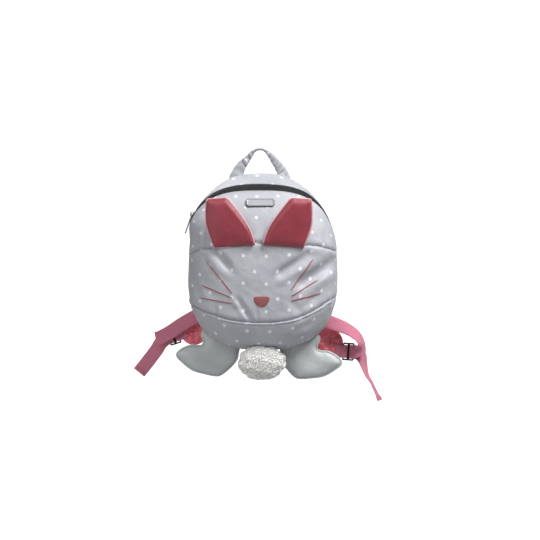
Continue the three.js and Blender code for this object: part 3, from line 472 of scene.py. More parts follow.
class Draft:
    """Points, faces and cloth coordinates of one mesh, in millimetres."""

    def __init__(self) -> None:
        """Start empty."""
        self.points: list[Array] = []
        self.faces: list[Array] = []
        self.cloth: list[Array] = []
        self.count = 0

    def add(self, points: Array, faces: Sequence[Array],
            cloth: Sequence[Array]) -> None:
        """Add points with faces over them.

        Args:
            points: Points, one a row.
            faces: Arrays of corners, each of one size.
            cloth: Cloth coordinates of the corners of each array.
        """
        self.points.append(np.asarray(points, float).reshape(-1, 3))
        self.faces.extend(np.asarray(face) + self.count for face in faces)
        self.cloth.extend(cloth)
        self.count += len(self.points[-1])

    def add_grid(self, points: Array, cloth: Array, wrap: bool = False,
                 caps: bool = False, keep: Optional[Array] = None) -> None:
        """Add a net of four-cornered faces.

        Args:
            points: Rows of points.
            cloth: Cloth coordinates, with one more column than points where the rows are rings.
            wrap: Whether each row is a ring.
            caps: Whether the first and the last ring are closed.
            keep: Which faces are wanted.
        """
        rows, cols = points.shape[:2]
        index = np.arange(rows * cols).reshape(rows, cols)
        if wrap:
            index = np.concatenate([index, index[:, :1]], 1)
        faces = corners(index, 0).reshape(-1, 4)
        places = corners(cloth, 0).reshape(-1, 4, 2)
        if keep is not None:
            faces, places = faces[keep.ravel()], places[keep.ravel()]
            used = np.unique(faces)
            renumber = np.zeros(rows * cols, int)
            renumber[used] = np.arange(len(used))
            self.add(points.reshape(-1, 3)[used], [renumber[faces]], [places])
            return
        groups, coords = [faces], [places]
        if caps:
            for ring, order in ((index[0, :cols], -1), (index[-1, :cols], 1)):
                groups.append(ring[None, ::order])
                coords.append(np.zeros((1, cols, 2)))
        self.add(points, groups, coords)

    def add_tubes(self, paths: Array, reference: Array, radius: Array,
                  sides: int = 6, closed: bool = False, flat: float = 1.0) -> None:
        """Add round strands.

        Args:
            paths: Strands by points by three.
            reference: Direction that is never along a strand.
            radius: One radius, or one for each point of a strand.
            sides: Facets round a strand.
            closed: Whether each strand ends where it starts.
            flat: Share of the radius along the reference.
        """
        paths = np.asarray(paths, float)
        if paths.ndim == 2:
            paths = paths[None]
        strands, count = paths.shape[:2]
        way = unit(np.roll(paths, -1, 1) - np.roll(paths, 1, 1) if closed
                   else np.gradient(paths, axis=1))
        across = unit(np.cross(way, np.broadcast_to(reference, paths.shape)))
        up = np.cross(across, way)
        turn = math.tau * (np.arange(sides) + 0.5) / sides
        size = np.broadcast_to(np.asarray(radius, float), (strands, count))[..., None, None]
        rings = (paths[:, :, None] + size * across[:, :, None] * np.cos(turn)[:, None]
                 + size * flat * up[:, :, None] * np.sin(turn)[:, None])
        steps = np.linalg.norm(np.diff(paths, axis=1), axis=-1)
        along = np.concatenate([np.zeros((strands, 1)), np.cumsum(steps, 1)], 1)
        mean = float(np.mean(size))
        index = np.arange(strands * count * sides).reshape(strands, count, sides)
        ring_on = np.concatenate([index, index[:, :, :1]], 2)
        if closed:
            ring_on = np.concatenate([ring_on, ring_on[:, :1]], 1)
            last = along[:, -1:] + np.linalg.norm(paths[:, 0] - paths[:, -1], axis=-1)[:, None]
            along = np.concatenate([along, last], 1)
        u = np.broadcast_to(np.arange(sides + 1) * math.tau * mean / sides,
                            (*along.shape, sides + 1))
        cloth = np.stack([u, np.broadcast_to(along[..., None], u.shape)], -1)
        groups, coords = [corners(ring_on, 1).reshape(-1, 4)], [corners(cloth, 1).reshape(-1, 4, 2)]
        if not closed:
            groups += [index[:, 0, ::-1], index[:, -1]]
            coords += [np.zeros((strands, sides, 2))] * 2
        self.add(rings.reshape(-1, 3), groups, coords)

    def add_stitches(self, line: Array, out: Array, length: float = 2.6,
                     pitch: float = 3.5, radius: float = 0.32) -> None:
        """Add a row of single stitches along a line.

        Args:
            line: Points of the line.
            out: Direction away from the cloth, one or one a point.
            length: Length of a stitch.
            pitch: Distance from stitch to stitch.
            radius: Radius of the thread.
        """
        run = run_of(line)
        starts = np.arange(0.2 * pitch, run[-1] - length, pitch)
        if not len(starts):
            return
        spots = starts[:, None] + np.array([0, 0.16, 0.5, 0.84, 1]) * length
        away = sample(np.broadcast_to(out, line.shape).astype(float), run, spots)
        rise = np.array([-0.7, 0.25, 0.45, 0.25, -0.7])[:, None] * radius
        paths = sample(line, run, spots) + away * rise
        self.add_tubes(paths, away, radius * np.array([0.4, 1, 1.05, 1, 0.4]), sides=6)

    def add_pillow(self, outline: Array, front: Surface, back: Surface, spacing: float,
                   rings: Sequence[float]) -> None:
        """Add a flat piece with a front and a back that meet at its rim.

        Args:
            outline: Closed outline in x and z, anticlockwise.
            front: Depth of the front over x, z and the distance from the rim.
            back: Depth of the back, the same way.
            spacing: Size of the inner facets.
            rings: Distances from the rim at which there are rings of points.
        """
        inward = inwards(outline)
        coords = [outline]
        for ring in rings:
            moved = outline + inward * ring
            coords.append(moved[rim_distance(moved, outline) > 0.93 * ring])
        low, high = outline.min(0), outline.max(0)
        net = np.stack(np.meshgrid(np.arange(low[0], high[0], spacing),
                                   np.arange(low[1], high[1], spacing * 0.87)), -1)
        net[1::2, :, 0] += spacing / 2
        net = net.reshape(-1, 2)
        deep = inside(net, outline) & (rim_distance(net, outline) > rings[-1] + 0.7 * spacing)
        coords.append(net[deep])
        flat = np.concatenate(coords)
        loop = list(range(len(outline)))
        made = delaunay_2d_cdt([Vector(p) for p in flat], [], [loop], 1, 1e-5)
        places = np.array([tuple(p) for p in made[0]])
        faces = np.array([f for f in made[2] if len(f) == 3])
        d = rim_distance(places, outline)
        free = d > 1e-4
        x, z = places.T
        fore, aft = (np.stack([x, face(x, z, d), z], -1) for face in (front, back))
        second = np.arange(len(places))
        second[free] = len(places) + np.arange(free.sum())
        points = np.concatenate([fore, aft[free]])
        self.add(points, [faces, second[faces][:, ::-1]],
                 [places[faces], places[faces][:, ::-1] + 7.0])


def inwards(outline: Array) -> Array:
    """Directions into an anticlockwise outline, one a point."""
    way = unit(np.roll(outline, -1, 0) - np.roll(outline, 1, 0))
    return np.stack([-way[:, 1], way[:, 0]], -1)


def rim_distance(places: Array, outline: Array) -> Array:
    """Distance of places from a closed outline."""
    a, b = outline, np.roll(outline, -1, 0)
    ab = b - a
    t = ((places[:, None] - a) * ab).sum(-1) / np.maximum((ab * ab).sum(-1), 1e-9)
    nearest = a + np.clip(t, 0, 1)[..., None] * ab
    return np.linalg.norm(places[:, None] - nearest, axis=-1).min(1)


def inside(places: Array, outline: Array) -> Array:
    """Which places lie inside a closed outline."""
    a, b = outline, np.roll(outline, -1, 0)
    x, z = places[:, 0:1], places[:, 1:2]
    spans = (a[:, 1] > z) != (b[:, 1] > z)
    rise = np.where(np.abs(b[:, 1] - a[:, 1]) < 1e-9, 1e-9, b[:, 1] - a[:, 1])
    cross = x < (b[:, 0] - a[:, 0]) * (z - a[:, 1]) / rise + a[:, 0]
    return (spans & cross).sum(1) % 2 == 1


def smooth_loop(points: Array, step: float, corners: Sequence[int] = ()) -> Array:
    """Close smooth loop through points, with sharp corners where they are asked for.

    Args:
        points: Points of the loop in x and z, with more columns if wanted.
        step: Distance between the points of the result.
        corners: Which points stay sharp.

    Returns:
        The loop, evenly spaced.
    """
    points = np.asarray(points, float)
    count = len(points)
    rows = []
    for k in range(count):
        a, b, c, d = (points[(k + j) % count] for j in (-1, 0, 1, 2))
        a = 2 * b - c if k in corners else a
        d = 2 * c - b if (k + 1) % count in corners else d
        pieces = max(2, int(np.linalg.norm(c[:2] - b[:2]) / step))
        t = (np.arange(pieces) / pieces)[:, None]
        rows.append(spline(a, b, c, d, t))
    return np.concatenate(rows)


def linear(hex_colour: str) -> tuple[float, float, float, float]:
    """Linear colour of an sRGB hex value."""
    parts = [int(hex_colour[k:k + 2], 16) / 255 for k in (1, 3, 5)]
    turned = [p / 12.92 if p <= 0.04045 else ((p + 0.055) / 1.055) ** 2.4 for p in parts]
    return (*turned, 1.0)


def add_node(tree: bpy.types.NodeTree, kind: str, links: Optional[dict] = None,
             stops: Sequence[tuple[float, str]] = (), **settings: object) -> bpy.types.Node:
    """Add a node with its settings, values and links.

    Args:
        tree: Tree that takes the node.
        kind: Type of the node.
        links: Input names or numbers with the node, the socket or the value that each takes.
        stops: Places and hex colours of a colour ramp.
        **settings: Properties of the node.

    Returns:
        The node.
    """
    node = tree.nodes.new(kind)
    for name, value in settings.items():
        setattr(node, name, value)
    for number, (place, colour) in enumerate(stops):
        stop = node.color_ramp.elements[number]
        stop.position, stop.color = place, linear(colour)
    for name, value in (links or {}).items():
        value = value.outputs[0] if isinstance(value, bpy.types.Node) else value
        if isinstance(value, bpy.types.NodeSocket):
            tree.links.new(value, node.inputs[name])
        else:
            node.inputs[name].default_value = value
    return node


def new_material(name: str) -> tuple[bpy.types.Material, bpy.types.NodeTree, bpy.types.NodeSocket]:
    """Material with an empty tree.

    Args:
        name: Name of the material.

    Returns:
        The material, its tree and the place on the object, in metres.
    """
    material = bpy.data.materials.new(name)
    material.use_nodes = True
    tree = material.node_tree
    tree.nodes.clear()
    return material, tree, add_node(tree, "ShaderNodeTexCoord").outputs["Object"]


def close_material(material: bpy.types.Material, values: dict) -> bpy.types.Material:
    """Give a material its principled shader, with the values and links of its inputs."""
    shader = add_node(material.node_tree, "ShaderNodeBsdfPrincipled", values)
    add_node(material.node_tree, "ShaderNodeOutputMaterial", {"Surface": shader})
    return material


def weave_height(tree: bpy.types.NodeTree, pitch_u: float, pitch_v: float) -> bpy.types.Node:
    """Height of a plain weave over the cloth coordinates, with threads at two pitches."""
    cloth = add_node(tree, "ShaderNodeUVMap", uv_map="cloth")
    turns = add_node(tree, "ShaderNodeVectorMath", {
        0: cloth, 1: (math.tau / pitch_u, math.tau / pitch_v, 0)}, operation="MULTIPLY")
    wave = add_node(tree, "ShaderNodeVectorMath", {0: turns}, operation="SINE")
    parts = add_node(tree, "ShaderNodeSeparateXYZ", {0: wave})
    return add_node(tree, "ShaderNodeMath", {0: parts.outputs[0], 1: parts.outputs[1]},
                    operation="MULTIPLY")


@dataclass(frozen=True)
class SatinPolyester:
    """Calendered polyester taffeta, woven and pressed: smooth with a soft, broad gloss."""

    name: str
    colour: str
    shade: str
    roughness: float = 0.46
    sheen: float = 0.25
    dots: Optional[str] = None
    dot_width: float = 5.1
    dot_edge: float = 0.8
    dot_pitch: float = 33.0
    row_pitch: float = 19.8
    thread: float = 1.1
    wrinkle: float = 0.5

    def dot_mask(self, tree: bpy.types.NodeTree) -> bpy.types.Node:
        """Where the printed dots are: rows at a pitch, each second row shifted by half."""
        cloth = add_node(tree, "ShaderNodeUVMap", uv_map="cloth")
        cell = (self.dot_pitch, 2 * self.row_pitch, 1)
        scaled = add_node(tree, "ShaderNodeVectorMath", {0: cloth, 1: cell}, operation="DIVIDE")
        nearest = []
        for shift in ((0.5, 0.5, 0), (0, 0.06, 0)):
            place = scaled
            for operation, value in (("ADD", shift), ("FRACTION", (0, 0, 0)),
                                     ("SUBTRACT", (0.5, 0.5, 0)), ("MULTIPLY", (*cell[:2], 0)),
                                     ("LENGTH", (0, 0, 0))):
                place = add_node(tree, "ShaderNodeVectorMath", {0: place, 1: value},
                                 operation=operation)
            nearest.append(place.outputs["Value"])
        least = add_node(tree, "ShaderNodeMath", {0: nearest[0], 1: nearest[1]},
                         operation="MINIMUM")
        return add_node(tree, "ShaderNodeMapRange", {
            "Value": least, "From Min": self.dot_width / 2 + self.dot_edge,
            "From Max": self.dot_width / 2 - self.dot_edge, "To Min": 0.0, "To Max": 1.0},
            interpolation_type="SMOOTHSTEP")

    def build(self) -> bpy.types.Material:
        """Make the material."""
        material, tree, place = new_material(self.name)
        cloudy = add_node(tree, "ShaderNodeTexNoise", {
            "Vector": place, "Scale": 22.0, "Detail": 3.0, "Roughness": 0.55})
        tone = add_node(tree, "ShaderNodeValToRGB", {0: cloudy},
                        ((0.36, self.shade), (0.64, self.colour)))
        if self.dots:
            tone = add_node(tree, "ShaderNodeMixRGB", {
                0: self.dot_mask(tree), 1: tone, 2: linear(self.dots)})
        # The real threads are 0.2 mm apart, too fine to show, so they are drawn coarser
        weave = weave_height(tree, self.thread, self.thread)
        crinkle = add_node(tree, "ShaderNodeTexNoise", {
            "Vector": place, "Scale": 85.0, "Detail": 2.5, "Roughness": 0.5, "Distortion": 0.6})
        fine = add_node(tree, "ShaderNodeBump", {
            "Height": weave, "Strength": 0.16, "Distance": 0.0003})
        soft = add_node(tree, "ShaderNodeBump", {
            "Height": crinkle, "Strength": self.wrinkle, "Distance": 0.0016, "Normal": fine})
        return close_material(material, {
            "Base Color": tone, "Normal": soft, "Roughness": self.roughness, "IOR": 1.5,
            "Sheen Weight": self.sheen, "Sheen Roughness": 0.45})


@dataclass(frozen=True)
class RibbedWebbing:
    """Woven polypropylene strap: ribs across it, with painted shade in the gaps between its
    threads.
    """

    name: str = "polypropylene webbing, rose"
    colour: str = "#e994ab"
    shade: str = "#d67b94"
    rib: float = 1.5

    def build(self) -> bpy.types.Material:
        """Make the material."""
        material, tree, place = new_material(self.name)
        weave = weave_height(tree, self.rib * 1.7, self.rib)
        # Painted shade: the low parts of the weave take the darker tone.
        tone = add_node(tree, "ShaderNodeValToRGB", {0: weave},
                        ((0.0, self.shade), (0.5, self.colour)))
        fuzz = add_node(tree, "ShaderNodeTexNoise", {"Vector": place, "Scale": 400.0})
        ribs = add_node(tree, "ShaderNodeBump", {
            "Height": weave, "Strength": 0.5, "Distance": 0.0005})
        soft = add_node(tree, "ShaderNodeBump", {
            "Height": fuzz, "Strength": 0.15, "Distance": 0.0005, "Normal": ribs})
        return close_material(material, {
            "Base Color": tone, "Normal": soft, "Roughness": 0.58, "IOR": 1.49,
            "Sheen Weight": 0.3, "Sheen Roughness": 0.4})


@dataclass(frozen=True)
class CurlyFleece:
    """Brushed acrylic fleece: matt and white, with a glow where light gets into the pile."""

    name: str = "acrylic fleece, curly pile"
    colour: str = "#fffefc"
    shade: str = "#fbf9f5"

    def build(self) -> bpy.types.Material:
        """Make the material."""
        material, tree, place = new_material(self.name)
        tuft = add_node(tree, "ShaderNodeTexNoise", {
            "Vector": place, "Scale": 180.0, "Detail": 4.0, "Roughness": 0.6})
        # Painted shade: the low parts of the tufts take the slightly darker tone.
        tone = add_node(tree, "ShaderNodeValToRGB", {0: tuft},
                        ((0.3, self.shade), (0.6, self.colour)))
        bump = add_node(tree, "ShaderNodeBump", {
            "Height": tuft, "Strength": 0.6, "Distance": 0.001})
        return close_material(material, {
            "Base Color": tone, "Normal": bump, "Roughness": 0.9, "IOR": 1.3,
            "Sheen Weight": 1.0, "Sheen Roughness": 0.6, "Subsurface Weight": 0.1,
            "Subsurface Radius": (1, 1, 1), "Subsurface Scale": 0.002})


@dataclass(frozen=True)
class FineWeave:
    """Base of the finely woven or twisted finishes: a lighter tone on the threads, with painted
    shade in the dips between them.
    """

    name: str
    colour: str
    shade: str
    pitch_u: float = 0.9
    pitch_v: float = 1.1
    roughness: float = 0.5
    sheen: float = 0.3
    relief: float = 0.0002

    def build(self) -> bpy.types.Material:
        """Make the material."""
        material, tree, _ = new_material(self.name)
        weave = weave_height(tree, self.pitch_u, self.pitch_v)
        # Painted shade: the dips of the weave take the darker tone.
        tone = add_node(tree, "ShaderNodeValToRGB", {0: weave},
                        ((0.0, self.shade), (0.6, self.colour)))
        bump = add_node(tree, "ShaderNodeBump", {
            "Height": weave, "Strength": 0.4, "Distance": self.relief})
        return close_material(material, {
            "Base Color": tone, "Normal": bump, "Roughness": self.roughness,
            "Sheen Weight": self.sheen})


@dataclass(frozen=True)
class Thread(FineWeave):
    """Twisted rayon or polyester thread: a soft gloss with fine diagonal plies."""


@dataclass(frozen=True)
class ZipTape(FineWeave):
    """Woven polyester tape, dyed dark: matt, with fine chevrons along it."""

    name: str = "zip tape, woven polyester"
    colour: str = "#17181b"
    shade: str = "#101113"
    pitch_u: float = 1.6
    pitch_v: float = 1.2
    roughness: float = 0.75
    sheen: float = 0.05
    relief: float = 0.0003


@dataclass(frozen=True)
class MouldedPlastic:
    """Moulded acetal or nylon: even colour with a low, slightly mottled gloss."""

    name: str
    colour: str
    roughness: float = 0.38
    metallic: float = 0.0
    ior: float = 1.48
    grain: float = 900.0
    detail: float = 2.0
    duller: float = 0.08
    relief: float = 0.12

    def build(self) -> bpy.types.Material:
        """Make the material."""
        material, tree, place = new_material(self.name)
        grain = add_node(tree, "ShaderNodeTexNoise", {
            "Vector": place, "Scale": self.grain, "Detail": self.detail})
        rough = add_node(tree, "ShaderNodeMapRange", {
            "Value": grain, "To Min": self.roughness - 0.06,
            "To Max": self.roughness + self.duller})
        bump = add_node(tree, "ShaderNodeBump", {
            "Height": grain, "Strength": self.relief, "Distance": 0.0002})
        return close_material(material, {
            "Base Color": linear(self.colour), "Normal": bump, "Roughness": rough,
            "IOR": self.ior, "Metallic": self.metallic})


@dataclass(frozen=True)
class PlatedMetal(MouldedPlastic):
    """Die-cast zinc with nickel plating: bright, with tumbled, faintly uneven gloss."""

    metallic: float = 1.0
    ior: float = 1.5
    grain: float = 260.0
    detail: float = 3.0
    duller: float = 0.1
    relief: float = 0.08


class Finishes:
    """All the finishes of the bag, made once."""

    def __init__(self) -> None:
        """Make them."""
        self.dotted = SatinPolyester("polyester taffeta, grey with white dots", "#bcbec4",
                                     "#b3b5bc", dots="#e6e8eb").build()
        self.plain = SatinPolyester("polyester taffeta, plain grey", "#c8cdcd",
                                    "#c1c6c6").build()
        self.crimson = SatinPolyester("polyester taffeta, crimson", "#9f3c49", "#953744",
                                      roughness=0.4, sheen=0.5, wrinkle=0.3).build()
        # Pale pink for the tubes round the ears' rims: a painted highlight of the bright line along
        # their edges.
        self.piping = SatinPolyester("polyester piping, pale pink", "#ecc0c6", "#e4b4bb",
                                     sheen=0.2).build()
        self.coral = SatinPolyester("polyester taffeta, coral", "#f67d8a", "#e96c7a",
                                    wrinkle=0.7).build()
        self.webbing = RibbedWebbing().build()
        self.fleece = CurlyFleece().build()
        self.tape = ZipTape().build()
        self.coil = MouldedPlastic("nylon coil, extruded", "#1d1e21", 0.5).build()
        self.buckle = MouldedPlastic("acetal, moulded", "#17171a").build()
        self.plated = PlatedMetal("zinc die cast, nickel plated", "#a9abae", 0.28).build()
        self.plate = PlatedMetal("zinc plate, satin", "#babcbf", 0.42, 0.5).build()
        # Dark grey of the ring round the badge: painted shadow at the plate's edge.
        self.rim = MouldedPlastic("nylon edging, dark grey", "#5c5e63", 0.6).build()
        self.whisker = Thread("rayon thread, russet", "#b16567", "#965052").build()
        self.grey_thread = Thread("polyester thread, grey", "#b4b6bb", "#9b9da3").build()
        self.red_thread = Thread("polyester thread, crimson", "#a8394a", "#8d2f3e").build()


def add_piece(name: str, draft: Draft, material: bpy.types.Material,
              replaces: Sequence[str] = (), body: str = BAG, closed: bool = True,
              outward: Optional[Vector] = None) -> bpy.types.Object:
    """Make an object of a draft and let it ride on a body.

    Args:
        name: Name of the piece.
        draft: Its mesh, in millimetres.
        material: Its finish.
        replaces: Solids that it stands for.
        body: Body that it moves with.
        closed: Whether the mesh is closed, so that its faces are turned outwards.
        outward: Direction that an open mesh faces for the most part.

    Returns:
        The object.
    """
    points = np.concatenate(draft.points) * MM
    mesh = bpy.data.meshes.new(name)
    mesh.from_pydata(points.tolist(), [], [f for group in draft.faces for f in group.tolist()])
    layer = mesh.uv_layers.new(name="cloth")
    layer.data.foreach_set("uv", np.concatenate([c.reshape(-1) for c in draft.cloth]))
    work = bmesh.new()
    work.from_mesh(mesh)
    if closed:
        bmesh.ops.recalc_face_normals(work, faces=work.faces)
    elif outward is not None:
        if sum(face.normal.dot(outward) * face.calc_area() for face in work.faces) < 0:
            bmesh.ops.reverse_faces(work, faces=work.faces)
    for face in work.faces:
        face.smooth = True
    work.to_mesh(mesh)
    work.free()
    mesh.materials.append(material)
    piece = bpy.data.objects.new(name, mesh)
    bpy.context.scene.collection.objects.link(piece)
    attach(piece, body)
    if replaces:
        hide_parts(*replaces)
    LOG.info("%s: %d faces", name, len(mesh.polygons))
    return piece


@dataclass
class ZipOpening:
    """Zip over the top and down both sides: tapes, coil, slider and its pull."""

    width: float = 14.0
    coil_width: float = 3.0
    tape_thick: float = 1.2
    end_rise: float = 48.0
    end_taper: float = 9.0
    slider_rise: float = 76.5
    slider_length: float = 11.0
    slider_width: float = 7.0
    plate: float = 1.4
    bridge_hole: float = 2.4
    bridge_wire: float = 1.2
    bridge_length: float = 7.0
    pull_length: float = 31.0
    pull_width: float = 8.4
    pull_wire: float = 1.5
    pull_lean: float = 10.0
    tooth_pitch: float = 1.7
    sunk: float = 0.9
    pull_corner: float = 2.2

    def share(self, angle: Array) -> Array:
        """How much of the zip there is at an angle."""
        layer = LAYERS[int(ZIP)]
        end = math.asin((self.end_rise / (layer.up * FORM.crown_rise)) ** (layer.crown / 2))
        wound = np.mod(angle + math.pi / 2, math.tau) - math.pi / 2
        start = math.pi / 2 - np.abs(math.pi / 2 - wound)
        return ease((start - end) / math.radians(self.end_taper))

    def beside(self, angle: Array, across: float) -> Array:
        """Stations of an edge beside the zip's middle line."""
        station = np.full_like(angle, ZIP)
        return FORM.after(angle, station, across * self.share(angle))

    def angles(self, count: int) -> Array:
        """Angles along the zip, from end to end."""
        angle = np.linspace(0, math.pi, count)
        return angle[self.share(angle) > 0.3]

    def line(self, across: float, outward: float,
             count: int = 420) -> tuple[Array, Array]:
        """Line along the zip, with its outward directions."""
        angle = self.angles(count)
        station = self.beside(angle, across)
        return FORM.shell(angle, station, outward), FORM.normal(angle, station)

    def tape(self, side: int) -> Draft:
        """Tape on one side of the coil, thicker where it folds at the coil."""
        draft = Draft()
        angle = self.angles(300)
        inner, outer = self.coil_width / 2 - 0.3, self.width / 2 + 0.4
        profile = ((inner, 0.35), (inner + 0.5, 0.6), (inner + 1.2, 0.55), (inner + 1.8, 0.1),
                   (0.6 * outer, 0.0), (outer - 1.2, -0.05), (outer, -0.3),
                   (outer, -self.tape_thick), (inner, -self.tape_thick))
        rows = [FORM.shell(angle, self.beside(angle, side * across), lift)
                for across, lift in profile]
        net = np.stack(rows, 1)
        run = run_of(net[:, 0])
        across = np.array([row[0] for row in (*profile, profile[0])])
        draft.add_grid(net, spread(across, run), wrap=True, caps=True)
        return draft

    def coil(self) -> Draft:
        """Nylon coil: a core with one loop of filament after another over it."""
        draft = Draft()
        line, out = self.line(0, -0.55, 900)
        run = run_of(line)
        spots = np.arange(0.5, run[-1] - 0.5, self.tooth_pitch)
        middle, away = sample(line, run, spots), unit(sample(out, run, spots))
        way = unit(np.gradient(middle, axis=0))
        side = np.cross(away, way)
        arc = np.radians(np.linspace(-10, 190, 7))
        reach = self.coil_width / 2 + 0.1
        paths = (middle[:, None] + side[:, None] * (reach * np.cos(arc))[:, None]
                 + away[:, None] * np.sin(arc)[:, None]
                 + way[:, None] * (0.3 * np.cos(arc))[:, None])
        draft.add_tubes(paths, way[:, None], 0.5, sides=5)
        draft.add_tubes(line[::6], out[::6], 0.9, sides=8, flat=0.6)
        return draft

    def place(self) -> Matrix:
        """Place of the slider: along the zip downwards, across it, and outwards."""
        layer = LAYERS[int(ZIP)]
        rise = self.slider_rise / (layer.up * FORM.crown_rise)
        angle = math.pi - math.asin(rise ** (layer.crown / 2))
        out = FORM.normal(np.array(angle), np.array(ZIP))
        along = unit(FORM.point(angle + 0.02, ZIP) - FORM.point(angle - 0.02, ZIP))
        across = unit(np.cross(out, along))
        out = np.cross(along, across)
        at = FORM.point(angle, ZIP)
        return Matrix((*[(along[k], across[k], out[k], at[k]) for k in range(3)], (0, 0, 0, 1)))

    def placed(self, place: Matrix, points: Array) -> Array:
        """Points of the slider's own frame in the bag's frame."""
        turn = np.array(place.to_3x3())
        return points @ turn.T + np.array(place.translation)

    def slider(self) -> Draft:
        """Slider body with a rounded plate, guide flanges and an arched bridge."""
        draft = Draft()
        place = self.place()
        half, wide = self.slider_length / 2, self.slider_width / 2
        turn = np.linspace(0, math.tau, 40, endpoint=False)
        taper = 1 - 0.2 * np.cos(turn)
        plan = np.stack([half * keep_sign(np.cos(turn), 0.6),
                         wide * taper * keep_sign(np.sin(turn), 0.6)], -1)
        profile = ((0.9, 0.3), (1, 0.6), (1, 1.3), (0.95, 1.6), (0.82, 1.75), (0.3, 1.8))
        rows = [np.concatenate([plan * scale, np.full((len(plan), 1), height)], 1)
                for scale, height in profile]
        net = self.placed(place, np.array(rows))
        cloth = np.zeros((len(rows), len(plan) + 1, 2))
        draft.add_grid(net, cloth, wrap=True, caps=True)
        arch = np.radians(np.linspace(0, 180, 17))
        length = (self.bridge_length - self.bridge_wire) / 2
        top = self.plate + self.sunk + self.bridge_hole
        path = np.stack([length * keep_sign(np.cos(arch), 0.5), np.zeros_like(arch),
                         self.plate + (top + 0.3 - self.plate) * np.sin(arch) ** 0.5], -1)
        across = self.placed(place, np.array([[0, 1, 0]])) - self.placed(place, np.zeros((1, 3)))
        draft.add_tubes(self.placed(place, path), across, 0.72, sides=10, flat=1.7)
        return draft

    def puller(self) -> Draft:
        """Pull: a wire loop with round corners, drawn in at its middle."""
        draft = Draft()
        pin = Matrix.Translation((0, 0, FORM.sewn_gap + self.plate + self.bridge_hole / 2))
        lean = Matrix.Rotation(math.radians(self.pull_lean), 4, "Y")
        place = self.place() @ pin @ lean
        half = self.pull_width / 2 - self.pull_wire / 2
        long = self.pull_length - self.pull_wire
        loop = round_box((0, -half), (long, half), self.pull_corner, 7)
        loop = np.concatenate([loop, np.zeros((len(loop), 1))], 1)
        loop[:, 1] *= 1 - 0.14 * bell((loop[:, 0] - 0.3 * long) / 6)
        way = self.placed(place, np.array([[0, 0, 1]])) - self.placed(place, np.zeros((1, 3)))
        draft.add_tubes(self.placed(place, loop), way, self.pull_wire / 2, sides=12, closed=True)
        return draft

    def build(self, finishes: Finishes) -> None:
        """Build and dress the zip."""
        for name, side in (("zip_tape_rear", -1), ("zip_tape_front", 1)):
            add_piece(f"{name}_cloth", self.tape(side), finishes.tape, [name])
        add_piece("zip_coil_filament", self.coil(), finishes.coil, ["zip_coil"])
        add_piece("zip_slider_body", self.slider(), finishes.plated, ["zip_slider"])
        add_piece("zip_pull_loop", self.puller(), finishes.plated, ["zip_puller"],
                  body=PULLER)
        rows = Draft()
        for across in (-self.width / 2 + 1.3, self.width / 2 - 1.3):
            line, out = self.line(across, 0.05)
            rows.add_stitches(line, out, length=2.4, pitch=3.2, radius=0.25)
        add_piece("zip_stitching", rows, finishes.coil)


